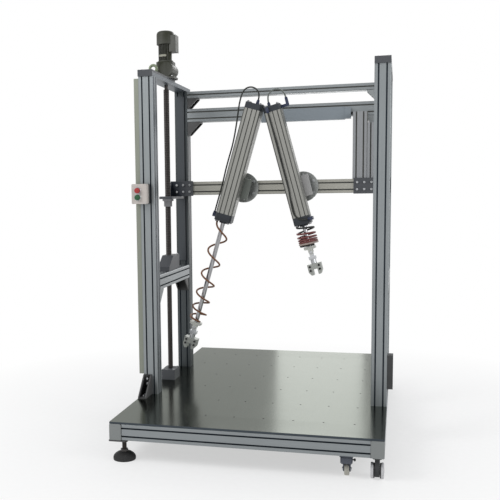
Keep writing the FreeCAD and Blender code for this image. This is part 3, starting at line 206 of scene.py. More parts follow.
# Name, colour, roughness, metallic share, streaks, their depth in millimetres, grime and wear
METALS = (
    ("profile_z", EXTRUDED, 0.36, 0.85, DRAWN_Z, 0.04, 0.3, 0.4),
    ("profile_y", EXTRUDED, 0.36, 0.85, DRAWN_Y, 0.04, 0.3, 0.4),
    ("profile_x", EXTRUDED, 0.36, 0.85, DRAWN_X, 0.04, 0.3, 0.4),
    # Painted shade on the left posts, the back one and the inner side of the front one
    ("post_dark", (0.050, 0.057, 0.060), 0.4, 0.7, DRAWN_Z, 0.04, 0.3, 0.4),
    ("post_side", (0.125, 0.138, 0.150), 0.42, 0.6, DRAWN_Z, 0.04, 0.3, 0.4),
    # Painted shade in the slots of the sections, dark on the frame and lighter on the beams,
    # crosshead, uprights and barrels
    ("slot_shade", (0.030, 0.042, 0.056), 0.5, 0.6, MILLED, 0.03, 0.3, 0.3),
    ("slot_soft", (0.11, 0.112, 0.104), 0.5, 0.6, MILLED, 0.03, 0.3, 0.3),
    ("crosshead_x", (0.30, 0.296, 0.265), 0.36, 0.8, DRAWN_X, 0.04, 0.3, 0.4),
    ("upright_z", (0.225, 0.232, 0.242), 0.36, 0.8, DRAWN_Z, 0.04, 0.2, 0.4),
    ("table_steel", (0.185, 0.195, 0.183), 0.17, 1.0, (700, 2.5, 60), 0.02, 0.12, 0.3),
    # Painted shade on the table's outer edges
    ("plate_edge", (0.045, 0.055, 0.065), 0.4, 0.8, MILLED, 0.03, 0.3, 0.3),
    ("guide_steel", (0.05, 0.055, 0.06), 0.3, 0.85, (200, 200, 3), 0.02, 0.2, 0.6),
    ("light_casting", (0.22, 0.235, 0.24), 0.45, 0.7, CAST, 0.12, 0.3, 0.5),
    ("clamp_dark", (0.12, 0.13, 0.12), 0.4, 0.75, CAST, 0.1, 0.3, 0.5),
    ("clamp_grey", (0.28, 0.28, 0.28), 0.4, 0.75, CAST, 0.1, 0.3, 0.5),
    ("cap_aluminium", (0.075, 0.088, 0.10), 0.42, 0.6, (300, 1.5, 300), 0.03, 0.2, 0.5),
    ("trunk_aluminium", (0.20, 0.212, 0.18), 0.4, 0.7, (260, 260, 2), 0.03, 0.25, 0.3),
    ("nut_steel", (0.13, 0.13, 0.135), 0.3, 0.9, (180, 180, 60), 0.03, 0.3, 0.7),
    ("bolt_steel", (0.40, 0.41, 0.42), 0.28, 0.95, (400, 400, 400), 0.03, 0.3, 0.6),
    ("flange_aluminium", (0.24, 0.25, 0.245), 0.3, 0.85, (160, 900, 160), 0.03, 0.3, 0.7),
    ("cylinder_z", (0.230, 0.230, 0.214), 0.34, 0.75, (260, 260, 3), 0.04, 0.3, 0.5),
    ("cylinder_cap", (0.022, 0.026, 0.032), 0.42, 0.4, MILLED, 0.05, 0.3, 0.4),
    ("chrome_rod", (0.36, 0.36, 0.37), 0.12, 1.0, (60, 60, 4), 0.005, 0.05, 0.2),
    ("jaw_aluminium", (0.24, 0.25, 0.235), 0.38, 0.8, (40, 300, 300), 0.05, 0.35, 0.6),
    ("white_alloy", (0.42, 0.43, 0.40), 0.42, 0.5, CAST, 0.05, 0.3, 0.3),
)

# Name, colour, roughness, depth of the grain in millimetres, dust and wear
PAINTS = (
    ("dark_paint", (0.009, 0.013, 0.021), 0.42, 0.08, 0.25, 0.2),
    # Black oxide on the dark parts, and painted shade on the walls of the table's holes
    ("black_oxide", (0.006, 0.006, 0.007), 0.4, 0.05, 0.2, 0.25),
    ("motor_paint", (0.018, 0.020, 0.009), 0.45, 0.12, 0.3, 0.25),
    ("motor_plate", (0.26, 0.26, 0.20), 0.45, 0.08, 0.3, 0.2),
    ("eye_paint", (0.22, 0.26, 0.17), 0.42, 0.08, 0.3, 0.2),
    ("dark_plastic", (0.014, 0.015, 0.016), 0.5, 0.1, 0.3, 0.12),
    ("light_plastic", (0.50, 0.46, 0.43), 0.45, 0.1, 0.25, 0.1),
    ("end_cap_grey", (0.20, 0.215, 0.212), 0.5, 0.1, 0.3, 0.15),
    ("foot_rubber", (0.010, 0.010, 0.010), 0.62, 0.2, 0.4, 0.1),
    ("foot_steel", (0.030, 0.024, 0.021), 0.5, 0.1, 0.35, 0.2),
    ("duct_plastic", (0.20, 0.235, 0.265), 0.45, 0.08, 0.25, 0.15),
    ("red_plastic", (0.35, 0.03, 0.03), 0.25, 0.03, 0.15, 0.1),
    ("green_plastic", (0.02, 0.09, 0.035), 0.25, 0.03, 0.15, 0.1),
    ("caster_plastic", (0.013, 0.016, 0.017), 0.45, 0.08, 0.3, 0.15),
    ("caster_bracket", (0.040, 0.050, 0.075), 0.45, 0.08, 0.3, 0.15),
    ("wheel_rubber", (0.012, 0.012, 0.013), 0.6, 0.15, 0.4, 0.1),
    ("fender_white", (0.55, 0.55, 0.56), 0.4, 0.06, 0.2, 0.05),
    ("wheel_nylon", (0.42, 0.41, 0.36), 0.45, 0.06, 0.35, 0.1),
    ("spiral_brown", (0.190, 0.075, 0.030), 0.32, 0.05, 0.3, 0.1),
    ("spiral_red", (0.165, 0.046, 0.044), 0.32, 0.05, 0.3, 0.1),
    # Painted light on the right coil, a paler red
    ("spiral_pale", (0.36, 0.29, 0.26), 0.32, 0.05, 0.3, 0.1),
    ("hose_grey", (0.13, 0.145, 0.135), 0.4, 0.05, 0.3, 0.1),
    # Black hose, also painted shade on the first and the last turn of the right coil
    ("hose_black", (0.018, 0.02, 0.018), 0.4, 0.05, 0.3, 0.1),
    ("cable_white", (0.55, 0.55, 0.55), 0.42, 0.05, 0.2, 0.05),
    ("fitting_blue", (0.015, 0.024, 0.062), 0.32, 0.04, 0.2, 0.1),
)
PAINT_GRAIN = (420, 420, 420)
PAINT_MIRRORING = 0.16
THREAD_DEPTH = 0.0015
THREAD_PITCH = 0.010
THREAD_START = 0.942
THREAD_END = 1.896


def make_materials():
    """Every finish on the machine, at its real grain."""
    for row in METALS:
        metal(*row)
    for row in PAINTS:
        paint(*row)
    threaded("screw_steel", (0.030, 0.027, 0.026), THREAD_PITCH, THREAD_START, THREAD_END)


make_materials()

# The oiled table mirrors less at a low angle than bare steel
TABLE_SHADER = MATERIALS["table_steel"].node_tree.nodes["Principled BSDF"]
TABLE_SHADER.inputs["Specular Tint"].default_value = (0.55, 0.56, 0.54, 1)

FINISH = {
    "base_rails": "profile_y",
    "rail_end_caps": "end_cap_grey", "table_plate": "table_steel", "tower_posts": "profile_z",
    "guide_rails": "guide_steel", "upper_beam": "profile_x", "lower_beam": "profile_x",
    "tower_cross_bars": "profile_y", "corner_brackets": "light_casting",
    "left_tower_cap": "cap_aluminium",
    "tower_top_plates": "dark_paint", "worm_gearbox": "motor_paint", "motor_body": "motor_paint",
    "fan_cover": "motor_paint", "lifting_eye": "eye_paint", "screw_bearings": "dark_paint",
    "control_box_base": "dark_plastic", "control_box_cover": "light_plastic",
    "cable_ducts": "trunk_aluminium", "levelling_feet": "foot_rubber",
    "junction_boxes": "dark_plastic", "post_cable": "cable_white",
    "crosshead_beam": "crosshead_x", "left_crosshead_plate": "dark_paint",
    "right_crosshead_plate": "dark_paint", "guide_blocks": "guide_steel",
    "lift_nut": "nut_steel", "crosshead_bolts": "bolt_steel",
    "crosshead_uprights": "upright_z", "pivot_flanges": "flange_aluminium",
    "left_clamp_plate": "clamp_dark", "right_clamp_plate": "clamp_grey",
    "right_top_hose": "hose_grey",
    "lift_screw": "screw_steel", "stop_button": "red_plastic", "start_button": "green_plastic",
}
for side in SIDES:
    FINISH[f"{side}_barrel"] = "cylinder_z"
    FINISH[f"{side}_cylinder_caps"] = "cylinder_cap"
    FINISH[f"{side}_piston_rod"] = "chrome_rod"
    FINISH[f"{side}_rod_clevis"] = "white_alloy"
    FINISH[f"{side}_swivel"] = "bolt_steel"
    FINISH[f"{side}_grip_jaw"] = "jaw_aluminium"
    FINISH[f"{side}_spiral_hose"] = "spiral_brown"
    FINISH[f"{side}_air_hose"] = "hose_black"
for row in ROWS:
    FINISH[f"{row}_corner_caster_fork"] = "caster_plastic"
    FINISH[f"{row}_corner_caster_wheel"] = "wheel_rubber"
    FINISH[f"{row}_inner_caster_fork"] = "caster_bracket"
    FINISH[f"{row}_inner_caster_wheel"] = "wheel_nylon"
for name, obj in NODES.items():
    obj.data.materials.clear()
    obj.data.materials.append(MATERIALS[FINISH[name]])


# Places in millimetres from the floor under the middle of the table, with the front at -Y
SECTION = 80
DECK = 200
TABLE_UNDERSIDE = 190
TABLE_HALF_X = 650
TABLE_HALF_Y = 960
EDGE_BAND = 5
SIDE_RAIL_X = 590
POST_TOP = 1920
CAP_TOP = 1942
PLATE_TOP = 1954
MOTOR_X = -610
MOTOR_BASE = 2050
BEAM_LEVEL = 1328
PLATE_FRONT = 202
FLANGE_FRONT = 192
COVER_FRONT = -464
BUTTON_X = -644
CYLINDER_PLANE = 40
PIVOTS = {"left": -195, "right": 156}
TILTS = {"left": 16, "right": -15}

# Lengths along a cylinder's own axis from its pivot, and across it
AXIS_X = -35
BARREL_TOP = 478
BARREL_FOOT = -210
ROD_SHOWN = 131
STROKE = 490
DRAWN_OUT = {"left": STROKE, "right": 0}
CLEVIS_PIN = 33
CLEVIS_GAP = 22
SWIVEL_LENGTH = 44

# Bolt circles, and the rows of the supports
FLANGE_BOLTS = 68
TIE_ROD = 36
CASTER_ROW = -920
CORNER_TRAIL = 16
ROLLER_X = 482
ROLLER_RADIUS = 30
ROLLER_TRAIL = 30
FOOT_X = -594
FOOT_ROW = 904

ON_AXIS = 1e-6
SMOOTH_BELOW = math.radians(35)
FACING = Matrix.Rotation(math.radians(90), 4, "X")
SIDEWAYS = Matrix.Rotation(math.radians(90), 4, "Y")


def finish_piece(name, mesh, material, body, smooth=False):
    """Puts a built mesh in the scene, with its finish and the body it rides on."""
    data = bpy.data.meshes.new(name)
    mesh.normal_update()
    mesh.to_mesh(data)
    mesh.free()
    obj = bpy.data.objects.new(name, data)
    bpy.context.scene.collection.objects.link(obj)
    data.materials.append(MATERIALS[material])
    if smooth:
        for face in data.polygons:
            face.use_smooth = True
        data.set_sharp_from_angle(angle=SMOOTH_BELOW)
    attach(obj, body)
    return obj


def add_block(mesh, size, matrix, bevel):
    """A block with softened edges."""
    verts = bmesh.ops.create_cube(mesh, size=1.0)["verts"]
    bmesh.ops.scale(mesh, vec=size, verts=verts)
    edges = list({edge for vert in verts for edge in vert.link_edges})
    grown = bmesh.ops.bevel(mesh, geom=edges, offset=bevel, segments=2, affect="EDGES")
    bmesh.ops.transform(mesh, matrix=matrix, verts=grown["verts"])


def add_lathe(mesh, profile, matrix, segments):
    """Turns an outline of radius and height about the local Z axis."""
    rings = []
    for radius, height in profile:
        if radius < ON_AXIS:
            rings.append([mesh.verts.new(matrix @ Vector((0, 0, height)))])
            continue
        ring = []
        for step in range(segments):
            angle = 2 * math.pi * step / segments
            spot = Vector((radius * math.cos(angle), radius * math.sin(angle), height))
            ring.append(mesh.verts.new(matrix @ spot))
        rings.append(ring)
    for low, high in zip(rings, rings[1:]):
        for step in range(segments):
            after = (step + 1) % segments
            corners = [low[step % len(low)], low[after % len(low)],
                       high[after % len(high)], high[step % len(high)]]
            unique = list(dict.fromkeys(corners))
            if len(unique) > 2:
                mesh.faces.new(unique)


def along(direction):
    """A turn that lays the Z axis along a direction."""
    return Vector(direction).to_track_quat("Z", "Y").to_matrix().to_4x4()


def add_bolt(mesh, spot, direction, radius, height):
    """A socket-head bolt, its axis along the given direction."""
    soft = radius * 0.15
    inner = radius * 0.55
    floor = height * 0.45
    profile = [(0, 0), (radius, 0), (radius, height - soft), (radius - soft, height),
               (inner, height), (inner, floor), (0, floor)]
    add_lathe(mesh, profile, Matrix.Translation(spot) @ along(direction), 16)


def at(x, y, z):
    """A place in millimetres."""
    return Matrix.Translation((x / 1000, y / 1000, z / 1000))


def mm(points):
    """Outline points in millimetres as metres."""
    return [tuple(value / 1000 for value in point) for point in points]


def tilt(side):
    """A cylinder's own frame, from its pivot along its axis."""
    turn = Matrix.Rotation(math.radians(TILTS[side]), 4, "Y")
    return at(PIVOTS[side], CYLINDER_PLANE, BEAM_LEVEL) @ turn


def add_ring(mesh, matrix, radius, bar):
    """A round ring about the local Z axis."""
    segments = 40
    sides = 14
    loops = []
    for step in range(segments):
        turn = 2 * math.pi * step / segments
        loop = []
        for side in range(sides):
            angle = 2 * math.pi * side / sides
            reach = radius + bar * math.cos(angle)
            spot = Vector((reach * math.cos(turn), reach * math.sin(turn), bar * math.sin(angle)))
            loop.append(mesh.verts.new(matrix @ spot))
        loops.append(loop)
    for step in range(segments):
        one, two = loops[step], loops[(step + 1) % segments]
        for side in range(sides):
            after = (side + 1) % sides
            mesh.faces.new([one[side], two[side], two[after], one[after]])


def add_tube(mesh, spots, radius, sides):
    """A round tube through close points."""
    rings = []
    normal = None
    for index, spot in enumerate(spots):
        ahead = spots[min(index + 1, len(spots) - 1)] - spots[max(index - 1, 0)]
        ahead.normalize()
        if normal is None:
            normal = ahead.orthogonal().normalized()
        normal = (normal - ahead * normal.dot(ahead)).normalized()
        side_way = ahead.cross(normal)
        ring = []
        for side in range(sides):
            angle = 2 * math.pi * side / sides
            offset = normal * math.cos(angle) + side_way * math.sin(angle)
            ring.append(mesh.verts.new(spot + offset * radius))
        rings.append(ring)
    for one, two in zip(rings, rings[1:]):
        for side in range(sides):
            after = (side + 1) % sides
            mesh.faces.new([one[side], one[after], two[after], two[side]])
    mesh.faces.new(list(reversed(rings[0])))
    mesh.faces.new(rings[-1])


def paint_faces(node, rules):
    """Gives the faces of a CAD piece their own finish by where they lie, in millimetres."""
    obj = NODES[node]
    slots = {}
    for face in obj.data.polygons:
        spot = obj.matrix_world @ face.center * 1000
        for material, test in rules:
            if test(spot.x, spot.y, spot.z):
                if material not in slots:
                    slots[material] = len(obj.data.materials)
                    obj.data.materials.append(MATERIALS[material])
                face.material_index = slots[material]
                break


# How far below a section's faces its slots begin, and how loosely a face fits its section
SLOT_DEPTH = 1.2
FIT = 0.5


def inside_slot(members):
    """Tells the faces in the slots of straight sections, each a low and a high corner and
    the number of its long axis, from the outer ones."""
    def test(x, y, z):
        found = False
        for low, high, long_axis in members:
            spot = (x, y, z)
            if any(not low[axis] - FIT < spot[axis] < high[axis] + FIT for axis in range(3)):
                continue
            depth = min(min(spot[axis] - low[axis], high[axis] - spot[axis])
                        for axis in range(3) if axis != long_axis)
            if depth < SLOT_DEPTH:
                return False
            found = True
        return found
    return test


def in_frame_of(matrix, test):
    """The same test in a tilted frame."""
    inverse = matrix.inverted()

    def turned(x, y, z):
        spot = inverse @ Vector((x / 1000, y / 1000, z / 1000)) * 1000
        return test(*spot)
    return turned


# Low corner, high corner and long axis of the slotted sections
RAILS = [((-650, -960, 110), (-590, 960, 190), 1), ((590, -960, 110), (650, 960, 190), 1),
         ((-650, -960, 110), (650, -900, 190), 0), ((-650, 900, 110), (650, 960, 190), 0),
         ((-590, -400, 110), (590, -320, 190), 0), ((-590, 320, 110), (590, 400, 190), 0)]
POSTS = [((x, y, DECK), (x + SECTION, y + SECTION, POST_TOP), 2)
         for x in (-650, 570) for y in (-400, 320)]
CROSS_BARS = [((x, -320, 772), (x + SECTION, 320, 852), 1) for x in (-650, 570)]
# Sections whose slots get the lighter painted shade
SOFT_SHADED_SLOTS = {
    "upper_beam": [((-570, 320, 1880), (570, 400, 1920), 0)],
    "lower_beam": [((-570, 320, 1735), (570, 400, 1815), 0)],
    "crosshead_beam": [((-644, 212, 1288), (644, 292, 1368), 0)],
    "crosshead_uprights": [((435, 212, 1368), (555, 292, 1749), 2)],
}
BARREL = [((-84, -49, -166), (14, 49, 444), 2)]


def on_plate_edge(x, y, z):
    """Between the table's faces, where its outer edges and the walls of its holes lie."""
    return TABLE_UNDERSIDE + FIT < z < DECK - FIT


def in_table_hole(x, y, z):
    """The walls of the table's holes."""
    inside = abs(x) < TABLE_HALF_X - EDGE_BAND and abs(y) < TABLE_HALF_Y - EDGE_BAND
    return on_plate_edge(x, y, z) and inside


paint_faces("base_rails", [("slot_shade", inside_slot(RAILS)),
                           ("profile_x", lambda x, y, z: abs(x) < SIDE_RAIL_X - FIT)])

# Painted shade: the inner side of the front left post darker, and the back left post, in the
# shade behind it, darker still
paint_faces("tower_posts", [("slot_shade", inside_slot(POSTS)),
                            ("post_side", lambda x, y, z: -571 < x < 0 and y < -300),
                            ("post_dark", lambda x, y, z: x < 0 and y > 200)])
paint_faces("tower_cross_bars", [("slot_shade", inside_slot(CROSS_BARS))])
# A lighter painted shade in the slots of the beams, crosshead and uprights, and in the grooves of
# the barrels
for node, members in SOFT_SHADED_SLOTS.items():
    paint_faces(node, [("slot_soft", inside_slot(members))])
for side in SIDES:
    paint_faces(f"{side}_barrel", [("slot_soft", in_frame_of(tilt(side), inside_slot(BARREL)))])
# Painted shade: the walls of the table's holes black, and its outer edges dark
paint_faces("table_plate", [("black_oxide", in_table_hole), ("plate_edge", on_plate_edge)])

# Dark brackets: at the top left, under the bars' back ends and at the front post's foot
paint_faces("corner_brackets", [
    ("black_oxide", lambda x, y, z: x < 0 and z > 1600),
    ("black_oxide", lambda x, y, z: y > 200 and z < 900),
    ("black_oxide", lambda x, y, z: y < -395 and z < 400)])

# The wire duct on the lower beam, and the box at its end
paint_faces("junction_boxes", [("duct_plastic", lambda x, y, z: y > 200 and z > 1600)])
paint_faces("cable_ducts", [("duct_plastic", lambda x, y, z: y > 200)])

# The threaded stems of the feet, above their rubber
paint_faces("levelling_feet", [("foot_steel", lambda x, y, z: z > 30.5)])


def on_fitting(x, y, z):
    """Tells the hose fittings, in a cylinder's frame, from the cap that carries them."""
    return max(abs(x - AXIS_X), abs(y)) > 49.4 or z > BARREL_TOP + 0.4


for side in SIDES:
    paint_faces(f"{side}_cylinder_caps", [("fitting_blue", in_frame_of(tilt(side), on_fitting))])


def make_cord(name, route, radius, material, body, node):
    """A hose along its route, in place of its CAD tube."""
    data = bpy.data.curves.new(name, "CURVE")
    data.dimensions = "3D"
    spline = data.splines.new("NURBS")
    spline.points.add(len(route) - 1)
    for point, spot in zip(spline.points, route):
        point.co = (*spot, 1)
    spline.order_u = 3
    spline.use_endpoint_u = True
    spline.resolution_u = 10
    data.bevel_depth = radius
    data.bevel_resolution = 4
    data.use_fill_caps = True
    obj = bpy.data.objects.new(name, data)
    bpy.context.scene.collection.objects.link(obj)
    data.materials.append(MATERIALS[material])
    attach(obj, body)
    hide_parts(node)
    line = smooth_line(obj)
    length = sum((b - a).length for a, b in zip(line, line[1:]))
    tuple(route[0])


def smooth_line(obj):
    """Points along a curve's own line."""
    data = obj.data.copy()
    data.bevel_depth = 0
    shadow = bpy.data.objects.new("line", data)
    mesh = bpy.data.meshes.new_from_object(shadow)
    spots = [vertex.co.copy() for vertex in mesh.vertices]
    bpy.data.meshes.remove(mesh)
    bpy.data.objects.remove(shadow)
    bpy.data.curves.remove(data)
    return spots


# Points in millimetres: of a hose in its cylinder's frame, of the cable from the floor
ROUTES = {
    "left_air_hose": [
        (-24, 0, 492), (-24, 0, 534), (-53.7, 0, 563.7), (-95.7, 0, 563.7), (-125.4, 0, 534),
        (-126, -3, 457), (-110, -12, 364.7), (-96, -18, 234), (-99, -20, 106.8),
        (-95, -14, -19.2), (-100, 0, -110.3), (-100, 0, -178)],
    "right_air_hose": [
        (-60, -58, 452), (-60, -58, 372), (-55, -58, 272.8), (-58, -58.5, 151.2),
        (-56, -58, 23.2), (-66.9, -58, -85.6), (-67.9, -58, -154.1), (-34, -58, -188),
        (13, -58, -188)],
    "right_top_hose": [
        (-50, 0, 492), (-50, 0, 534), (-20.3, 0, 563.7), (21.7, 0, 563.7), (51.4, 0, 534),
        (51.4, 0, 492)],
    "post_cable": [
        (419, 300, 1749.8), (452.8, 300, 1749.8), (488.1, 302, 1732.8), (519.8, 304, 1699.8),
        (543.1, 306, 1663.8), (555.8, 308, 1621.8), (560, 310, 1569.8), (558, 309, 1479.8),
        (560, 310, 1413), (560, 310, 1343)],
}


HOSE_RADIUS = 4.5
CABLE_RADIUS = 3.5


def make_hoses():
    """The air hoses on the cylinders and the cable beside the post."""
    for name, radius, material, side in (
            ("left_air_hose", HOSE_RADIUS, "hose_black", "left"),
            ("right_air_hose", HOSE_RADIUS, "hose_black", "right"),
            ("right_top_hose", HOSE_RADIUS, "hose_grey", "right"),
            ("post_cable", CABLE_RADIUS, "cable_white", None)):
        frame_of = tilt(side) if side else Matrix()
        route = [frame_of @ (Vector(spot) / 1000) for spot in ROUTES[name]]
        body = f"{side}_cylinder" if side else "frame"
        make_cord(f"{name}_smooth", route, radius / 1000, material, body, name)
        mesh = bmesh.new()
        grip = radius + 3.2
        collar = mm([(0, -0.5), (grip + 1, -0.5), (grip + 1, 5), (grip, 5.4), (grip, 11),
                     (grip - 1, 12), (radius + 0.2, 12), (0, 11)])
        for spot, after in ((route[0], route[1]), (route[-1], route[-2])):
            add_lathe(mesh, collar, Matrix.Translation(spot) @ along(after - spot), 18)
        finish_piece(f"{name}_collars", mesh, "fitting_blue" if side else "dark_plastic", body,
                     smooth=True)


# Turns, start in degrees, radii of coil and hose in millimetres, how much the turns lie
# wide apart at first, and each colour, painted shade and light too, with the turn it lasts until
COILS = {
    "left": {"turns": 5.5, "start": 175, "reach": 45, "hose": 5.4, "early": 0.65,
             "finish": (("spiral_brown", 5.6),)},
    # On the right coil, painted shade on the first and the last turn, and painted light on the
    # turn before the last
    "right": {"turns": 6.6, "start": 150, "reach": 51, "hose": 5.3, "early": 0.42,
              "finish": (("hose_black", 1.0), ("spiral_red", 4.7), ("spiral_pale", 5.7),
                         ("hose_black", 6.7))},
}


def coil_height(side, share):
    """How far down the coil a share of its turns lies: wide apart at first, then close."""
    early = COILS[side]["early"]
    if side == "left":
        return share + early * share * (1 - share)
    return early * (1 - (1 - share) ** 5) + (1 - early) * share


COIL_GAP = 0.3
STEPS_PER_TURN = 36
COIL_SIDES = 12
TURNS_IN = 0.45
TURNS_OUT = 0.6


def make_spiral(side):
    """The spiral hose round a piston rod, reaching down as far as the rod is drawn out."""
    own = tilt(side)
    coil_of = COILS[side]
    turns, hose = coil_of["turns"], coil_of["hose"]
    top = BARREL_FOOT - COIL_GAP - hose
    low = BARREL_FOOT - ROD_SHOWN - DRAWN_OUT[side] + COIL_GAP + hose
    steps = round(turns * STEPS_PER_TURN)
    spots = []
    for step in range(steps + 1):
        share = step / steps
        turn = 2 * math.pi * turns * share + math.radians(coil_of["start"])
        enter = min(1.0, share * turns / TURNS_IN)
        leave = min(1.0, (1 - share) * turns / TURNS_OUT)
        ease_in = enter * enter * (3 - 2 * enter)
        ease_out = leave * leave * (3 - 2 * leave)
        reach = coil_of["reach"] - (1 - ease_in) * 10 - (1 - ease_out) * 24
        wobble = 1.8 * math.sin(turn * 0.37 + 1.1)
        height = top + (low - top) * coil_height(side, share)
        x = AXIS_X + (reach + wobble * 0.5) * math.cos(turn)
        y = (reach + wobble) * math.sin(turn)
        spots.append(own @ Vector((x / 1000, y / 1000, height / 1000)))
    mesh = bmesh.new()
    add_tube(mesh, spots, hose / 1000, COIL_SIDES)
    data = bpy.data.meshes.new(f"{side}_coil")
    mesh.to_mesh(data)
    mesh.free()
    for material, _ in coil_of["finish"]:
        data.materials.append(MATERIALS[material])
    for face in data.polygons:
        face.use_smooth = True
        reached = face.index / COIL_SIDES / steps * turns
        face.material_index = next((index for index, (_, until) in enumerate(coil_of["finish"])
                                    if reached <= until), len(coil_of["finish"]) - 1)
    coil = bpy.data.objects.new(f"{side}_coil", data)
    bpy.context.scene.collection.objects.link(coil)
    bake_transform(coil)
    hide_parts(f"{side}_spiral_hose")


# Outlines of turned pieces, radius and height in millimetres
TIE_ROD_NUT = ((0, 0), (8, 0), (8.4, 0.6), (8.4, 6), (8, 6.6), (4, 6.6), (4, 9), (3.4, 9.6),
               (0, 9.6))
PIN_HEAD = ((0, 0), (8.5, 0), (8.5, 3), (7.5, 4), (0, 4))
JAW_SCREW = ((0, 0), (6.5, 0), (6.5, 4.4), (5.8, 5), (3.4, 5), (3.4, 2.4), (0, 2.4))
MOTOR = ((0, 0), (43, 0), (44, 1), (44, 7), (43, 8), (37, 8), (36.2, 10), (36.2, 102),
         (37, 104), (41, 104), (41.4, 105), (41.4, 111), (40, 112), (0, 112))
SMALL_SCREW = ((0, 0), (3, 0), (3, 0.8), (0, 0.8))
SHROUD = ((0, -14), (50, -14), (51, -13), (51, 40), (50, 48), (46, 55), (39, 60), (30, 62))
SHROUD_MIDDLE = ((6, 62), (0, 62))
EYE_FOOT = ((0, 0), (15, 0), (15, 5), (13, 8), (8, 9), (7, 12), (0, 12))
BUTTON = ((0, -20), (9, -20), (9, 5), (14, 5), (15, 6), (15, 11), (14.2, 13), (12.5, 14),
          (0, 13.4))
BEZEL = ((18.8, 0), (18.8, 2.6), (18, 3.4), (15.9, 3.4), (15.9, 0))
TYRE = ((27, 17), (34, 17), (36.2, 18), (37, 20), (37, 25), (36, 28.4), (33.6, 29.6),
        (27, 29.6), (26, 28.4), (26, 18), (27, 17))
HUB = ((6, 12), (34, 12), (35, 13), (35, 16.8), (26.2, 17), (26.2, 27.6), (19, 27.6),
       (17, 29.4), (12, 30), (0, 30))
ROLLER = ((6.1, -11), (27, -11), (29, -10), (30, -8), (30, 8), (29, 10), (27, 11), (6.1, 11))
AXLE_NUT = ((0, 0), (8, 0), (8, 4), (7, 5), (0, 5))
BRAKE_KNOB = ((0, 0), (3, 0), (3, 5), (6, 6), (7, 9), (6.4, 12), (4, 14), (0, 14.4))
FOOT_DOME = ((55.2, 1), (56, 3), (56, 13), (53, 20), (46, 28), (36, 35), (25, 39), (11.2, 40),
             (11.2, 20), (55.2, 1))
LOCK_NUT = ((11.2, 40.2), (19, 40.2), (20, 41.2), (20, 51), (19, 52), (11.2, 52),
            (11.2, 40.2))

UP = (0, 0, 1)
TO_FRONT = (0, -1, 0)
TO_RIGHT = (1, 0, 0)


def add_bolts(name, body, material, rows, radius, height):
    """Socket-head bolts at places and directions in millimetres."""
    mesh = bmesh.new()
    for spot, direction in rows:
        add_bolt(mesh, Vector(spot) / 1000, direction, radius / 1000, height / 1000)
    return finish_piece(name, mesh, material, body, smooth=True)


def make_fasteners():
    """Bolts on the crosshead plates, brackets, caps and boxes."""
    heads = add_bolts("plate_bolt_heads", "crosshead", "bolt_steel",
                      [((x, PLATE_FRONT, BEAM_LEVEL + z), TO_FRONT)
                       for x in (-610, -570, -530, 462, 502, 542) for z in (-20, 20)], 6.5, 7)
    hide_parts("crosshead_bolts")
    post_bolts = (MOTOR_X - 24, MOTOR_X + 24)
    add_bolts("motor_plate_bolts", "frame", "bolt_steel",
              [((x, y, PLATE_TOP), UP) for x in post_bolts for y in (-380, -310, -120)], 5, 5)
    add_bolts("right_cap_bolts", "frame", "bolt_steel",
              [((x, y, PLATE_TOP), UP) for x in (586, 634) for y in (-378, -340, 340, 378)],
              5, 5)
    add_bolts("left_cap_bolts", "frame", "bolt_steel",
              [((x, y, CAP_TOP), UP) for x in post_bolts for y in (340, 378)], 5, 5)
    add_bolts("foot_bracket_bolts", "frame", "bolt_steel",
              [((-627, -455, 208), UP), ((-627, -480, 208), UP),
               ((-627, -408, 262), TO_FRONT), ((-627, -408, 288), TO_FRONT)], 6, 6)
    add_bolts("bearing_bolts", "frame", "bolt_steel",
              [((x, y, 260), UP) for x in (-640, -580) for y in (-44, 44)]
              + [((x, 100, 938), UP) for x in post_bolts], 5, 5)
    add_bolts("gearbox_bolts", "frame", "bolt_steel",
              [((MOTOR_X + x, y, 1965.4), UP) for x in (-47, 47) for y in (-47, 47)], 5, 5)
    add_bolts("cover_screws", "frame", "bolt_steel",
              [((x, COVER_FRONT, z), TO_FRONT) for x in (-671, -601) for z in (1254, 1346)],
              2.6, 1.4)
    add_bolts("side_box_screws", "frame", "bolt_steel",
              [((678, y, z), TO_RIGHT) for y in (-393, -347) for z in (300, 459)], 2.6, 0.0001)
    flange = []
    for x in PIVOTS.values():
        for angle in range(30, 360, 60):
            turn = math.radians(angle)
            flange.append(((x + FLANGE_BOLTS * math.cos(turn), FLANGE_FRONT,
                            BEAM_LEVEL + FLANGE_BOLTS * math.sin(turn)), TO_FRONT))
    add_bolts("flange_bolts", "crosshead", "bolt_steel", flange, 6.5, 7)


def make_cylinder_fasteners():
    """Tie rod nuts, clevis pins and jaw screws, in each cylinder's own frame."""
    for side in SIDES:
        own = tilt(side)
        mesh = bmesh.new()
        for x in (AXIS_X - TIE_ROD, AXIS_X + TIE_ROD):
            for y in (-TIE_ROD, TIE_ROD):
                for z, way in ((BARREL_TOP, 1), (BARREL_FOOT, -1)):
                    spot = own @ Vector((x / 1000, y / 1000, z / 1000))
                    direction = own.to_3x3() @ Vector((0, 0, way))
                    add_lathe(mesh, mm(TIE_ROD_NUT),
                              Matrix.Translation(spot) @ along(direction), 6)
        finish_piece(f"{side}_tie_rod_nuts", mesh, "nut_steel", f"{side}_cylinder")
        pin_level = BARREL_FOOT - ROD_SHOWN - DRAWN_OUT[side] - CLEVIS_PIN
        mesh = bmesh.new()
        for y in (-21, 21):
            add_lathe(mesh, mm(PIN_HEAD), own @ at(AXIS_X, y, pin_level)
                      @ (FACING if y < 0 else FACING.inverted()), 20)
        finish_piece(f"{side}_clevis_pin_heads", mesh, "bolt_steel", f"{side}_rod", smooth=True)
        mesh = bmesh.new()
        jaw_top = pin_level - CLEVIS_GAP - SWIVEL_LENGTH
        for x in (AXIS_X - 26, AXIS_X + 26):
            for z in (-14, -36):
                add_lathe(mesh, mm(JAW_SCREW), own @ at(x, -28, jaw_top + z) @ FACING, 20)
        finish_piece(f"{side}_jaw_screws", mesh, "black_oxide", f"{side}_grip", smooth=True)


